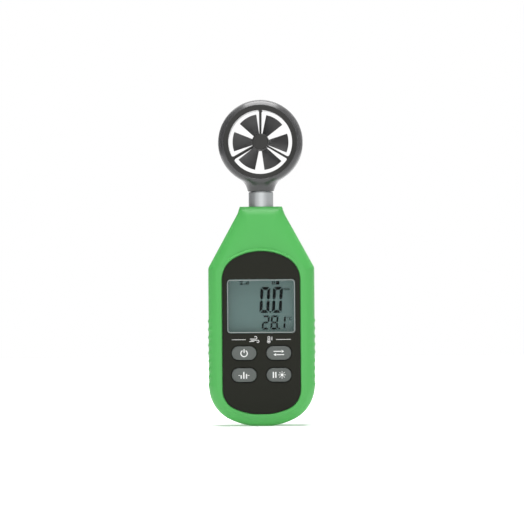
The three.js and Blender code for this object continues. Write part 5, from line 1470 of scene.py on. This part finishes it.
# %% Battery door
TONGUE_WIDTH, TONGUE_THICKNESS, TONGUE_REACH = 6, 1.3, 1.6
door_outline = box_outline(0, door_z, 2 * DOOR_HALF, door_height, 2.0)
door_shape = loft(at_depths(door_outline, (0, DOOR_INNER), (0, BACK - 0.35), (-0.05, BACK - 0.15),
                            (-0.15, BACK - 0.04), (-0.32, BACK)))
door = make_object("flush_battery_door", door_shape)
tongue_back = DOOR_INNER - CLEARANCE
tongue_front = tongue_back - TONGUE_THICKNESS
ROOT_GAP = 0.4
tongues = []
for x in TONGUE_PLACES:
    tongues.append(rounded_box(x, (DOOR_BOTTOM + WELL_FOOT - ROOT_GAP) / 2, TONGUE_WIDTH,
                               WELL_FOOT - ROOT_GAP - DOOR_BOTTOM, 0.1, tongue_front, DOOR_INNER + 0.5))
    tongues.append(rounded_box(x, DOOR_BOTTOM + (0.5 - TONGUE_REACH) / 2, TONGUE_WIDTH, TONGUE_REACH + 0.5, 0.1,
                               tongue_front, tongue_back))
carve(door, *tongues, operation="UNION")
carve(door, round_pin(0, DOOR_SCREW_Z, SCREW_WELL, BACK - 1.3, BACK + 1, 64),
      round_pin(0, DOOR_SCREW_Z, PILOT, 10, BACK, 48))
dress(door, "leaf_green_plastic", "battery_door", "housing_plastic", "battery_door")

# %% Screws
def screw_object(name, node, head_height, recess):
    """A screw with its head towards the back, where its node is."""
    (_, foot, _), (_, top, _) = box_mm(node)
    x, _, z = centre_mm(node)
    under = top - head_height
    dome = [(2.3 * cos(a), under + 0.4 * head_height + 0.6 * head_height * sin(a))
            for a in (radians(10 * i) for i in range(9))]
    shape = spin([(0, foot), (0.9, foot), (1.2, foot + 0.6), (1.2, under), (2.15, under), (2.3, under + 0.15),
                  *dome, (0, top)], "Y", 64)
    screw = make_object(name, shifted(shape, x=x, z=z))
    cross = [rounded_box(x, z, width, height, 0.1, top - recess, top + 1)
             for width, height in ((0.6, 2.7), (2.7, 0.6))]
    carve(screw, *cross)
    return screw


for i, node in enumerate(CASE_SCREWS, 1):
    dress(screw_object(f"case_cross_screw_{i}", node, 1.7, 0.9), "plated_steel", "housing", "bright_steel", node)
dress(screw_object("door_cross_screw", "door_screw", 0.8, 0.45), "plated_steel", "battery_door", "bright_steel",
      "door_screw")

# %% [markdown]
# Under the door lie three cells, which stand head to foot in a row. A printed jacket covers each, and the steel can
# shows at both ends. Coil springs press on the flat ends, and the buttons touch sprung plates.

# %% Cells
CELL_LENGTH = cell_high[2] - box_mm("battery_cell_3")[0][2]
CELL_ENDS = 4.5
cell_profile = [(0, 0), (4.35, 0), (4.45, 0.12), (4.85, 0.12), (5.1, 0.2), (5.25, 0.45)]
cell_profile += [(radius, CELL_LENGTH - drop) for radius, drop in (
    (5.25, 1.55), (5.1, 1.3), (4.8, 1.2), (4.5, 1.25), (2.1, 1.2), (1.95, 1.1), (1.9, 0.25), (1.7, 0), (0, 0))]
for i in (1, 2, 3):
    cell = f"battery_cell_{i}"
    x, y, _ = centre_mm(cell)
    foot = box_mm(cell)[0][2]
    is_up = box_mm(f"contact_spring_{i}")[0][2] < foot
    profile = cell_profile if is_up else [(r, CELL_LENGTH - h) for r, h in cell_profile]
    can = make_object(f"cell_{i}", shifted(spin(profile, "Z", 72), x, y, foot))
    can.data.materials.append(materials["cell_jacket"])
    can.data.materials.append(materials["plated_steel"])
    for face in can.data.polygons:
        off = hypot(face.center.x / MM - x, face.center.y / MM - y)
        face.material_index = 1 if off < CELL_ENDS else 0
    dress(can, "cell_jacket", "housing", "cell_jacket", cell)

# %% Springs and contact plates
SPRING_WIDE, SPRING_NARROW, WIRE, SPRING_TURNS = 3.4, 2.2, 0.5, 3.5


def spring_shape(x, y, z0, z1, is_up):
    """A tapering coil between two levels, wide at the end that stands on the well's wall."""
    steps = int(SPRING_TURNS * 40)
    rings = []
    for i in range(steps + 1):
        share = i / steps
        turn = 2 * pi * SPRING_TURNS * share
        radius = SPRING_WIDE + (SPRING_NARROW - SPRING_WIDE) * share
        level = z0 + WIRE / 2 + (z1 - z0 - WIRE) * (share if is_up else 1 - share)
        out = (cos(turn), sin(turn))
        rings.append([(x + (radius + dx) * out[0], y + (radius + dx) * out[1], level + dz)
                      for dx, dz in arc(0, 0, WIRE / 2, 0, 2 * pi, 12)[:-1]])
    return loft(rings)


for i in (1, 2, 3):
    low, high = box_mm(f"contact_spring_{i}")
    x, y, _ = centre_mm(f"battery_cell_{i}")
    is_up = low[2] < box_mm(f"battery_cell_{i}")[0][2]
    dress(make_object(f"coil_spring_{i}", spring_shape(x, y, low[2], high[2], is_up)), "plated_steel", "housing",
          "bright_steel", f"contact_spring_{i}")
    low, high = box_mm(f"contact_plate_{i}")
    plate = bmesh.new()
    bmesh.ops.create_cube(plate, size=1)
    bmesh.ops.scale(plate, verts=plate.verts, vec=mm([b - a for a, b in zip(low, high)]))
    bmesh.ops.translate(plate, verts=plate.verts, vec=mm(centre_mm(f"contact_plate_{i}")))
    dress(make_object(f"contact_leaf_{i}", soften(plate, 0.12, 2)), "plated_steel", "housing", "bright_steel",
          f"contact_plate_{i}")
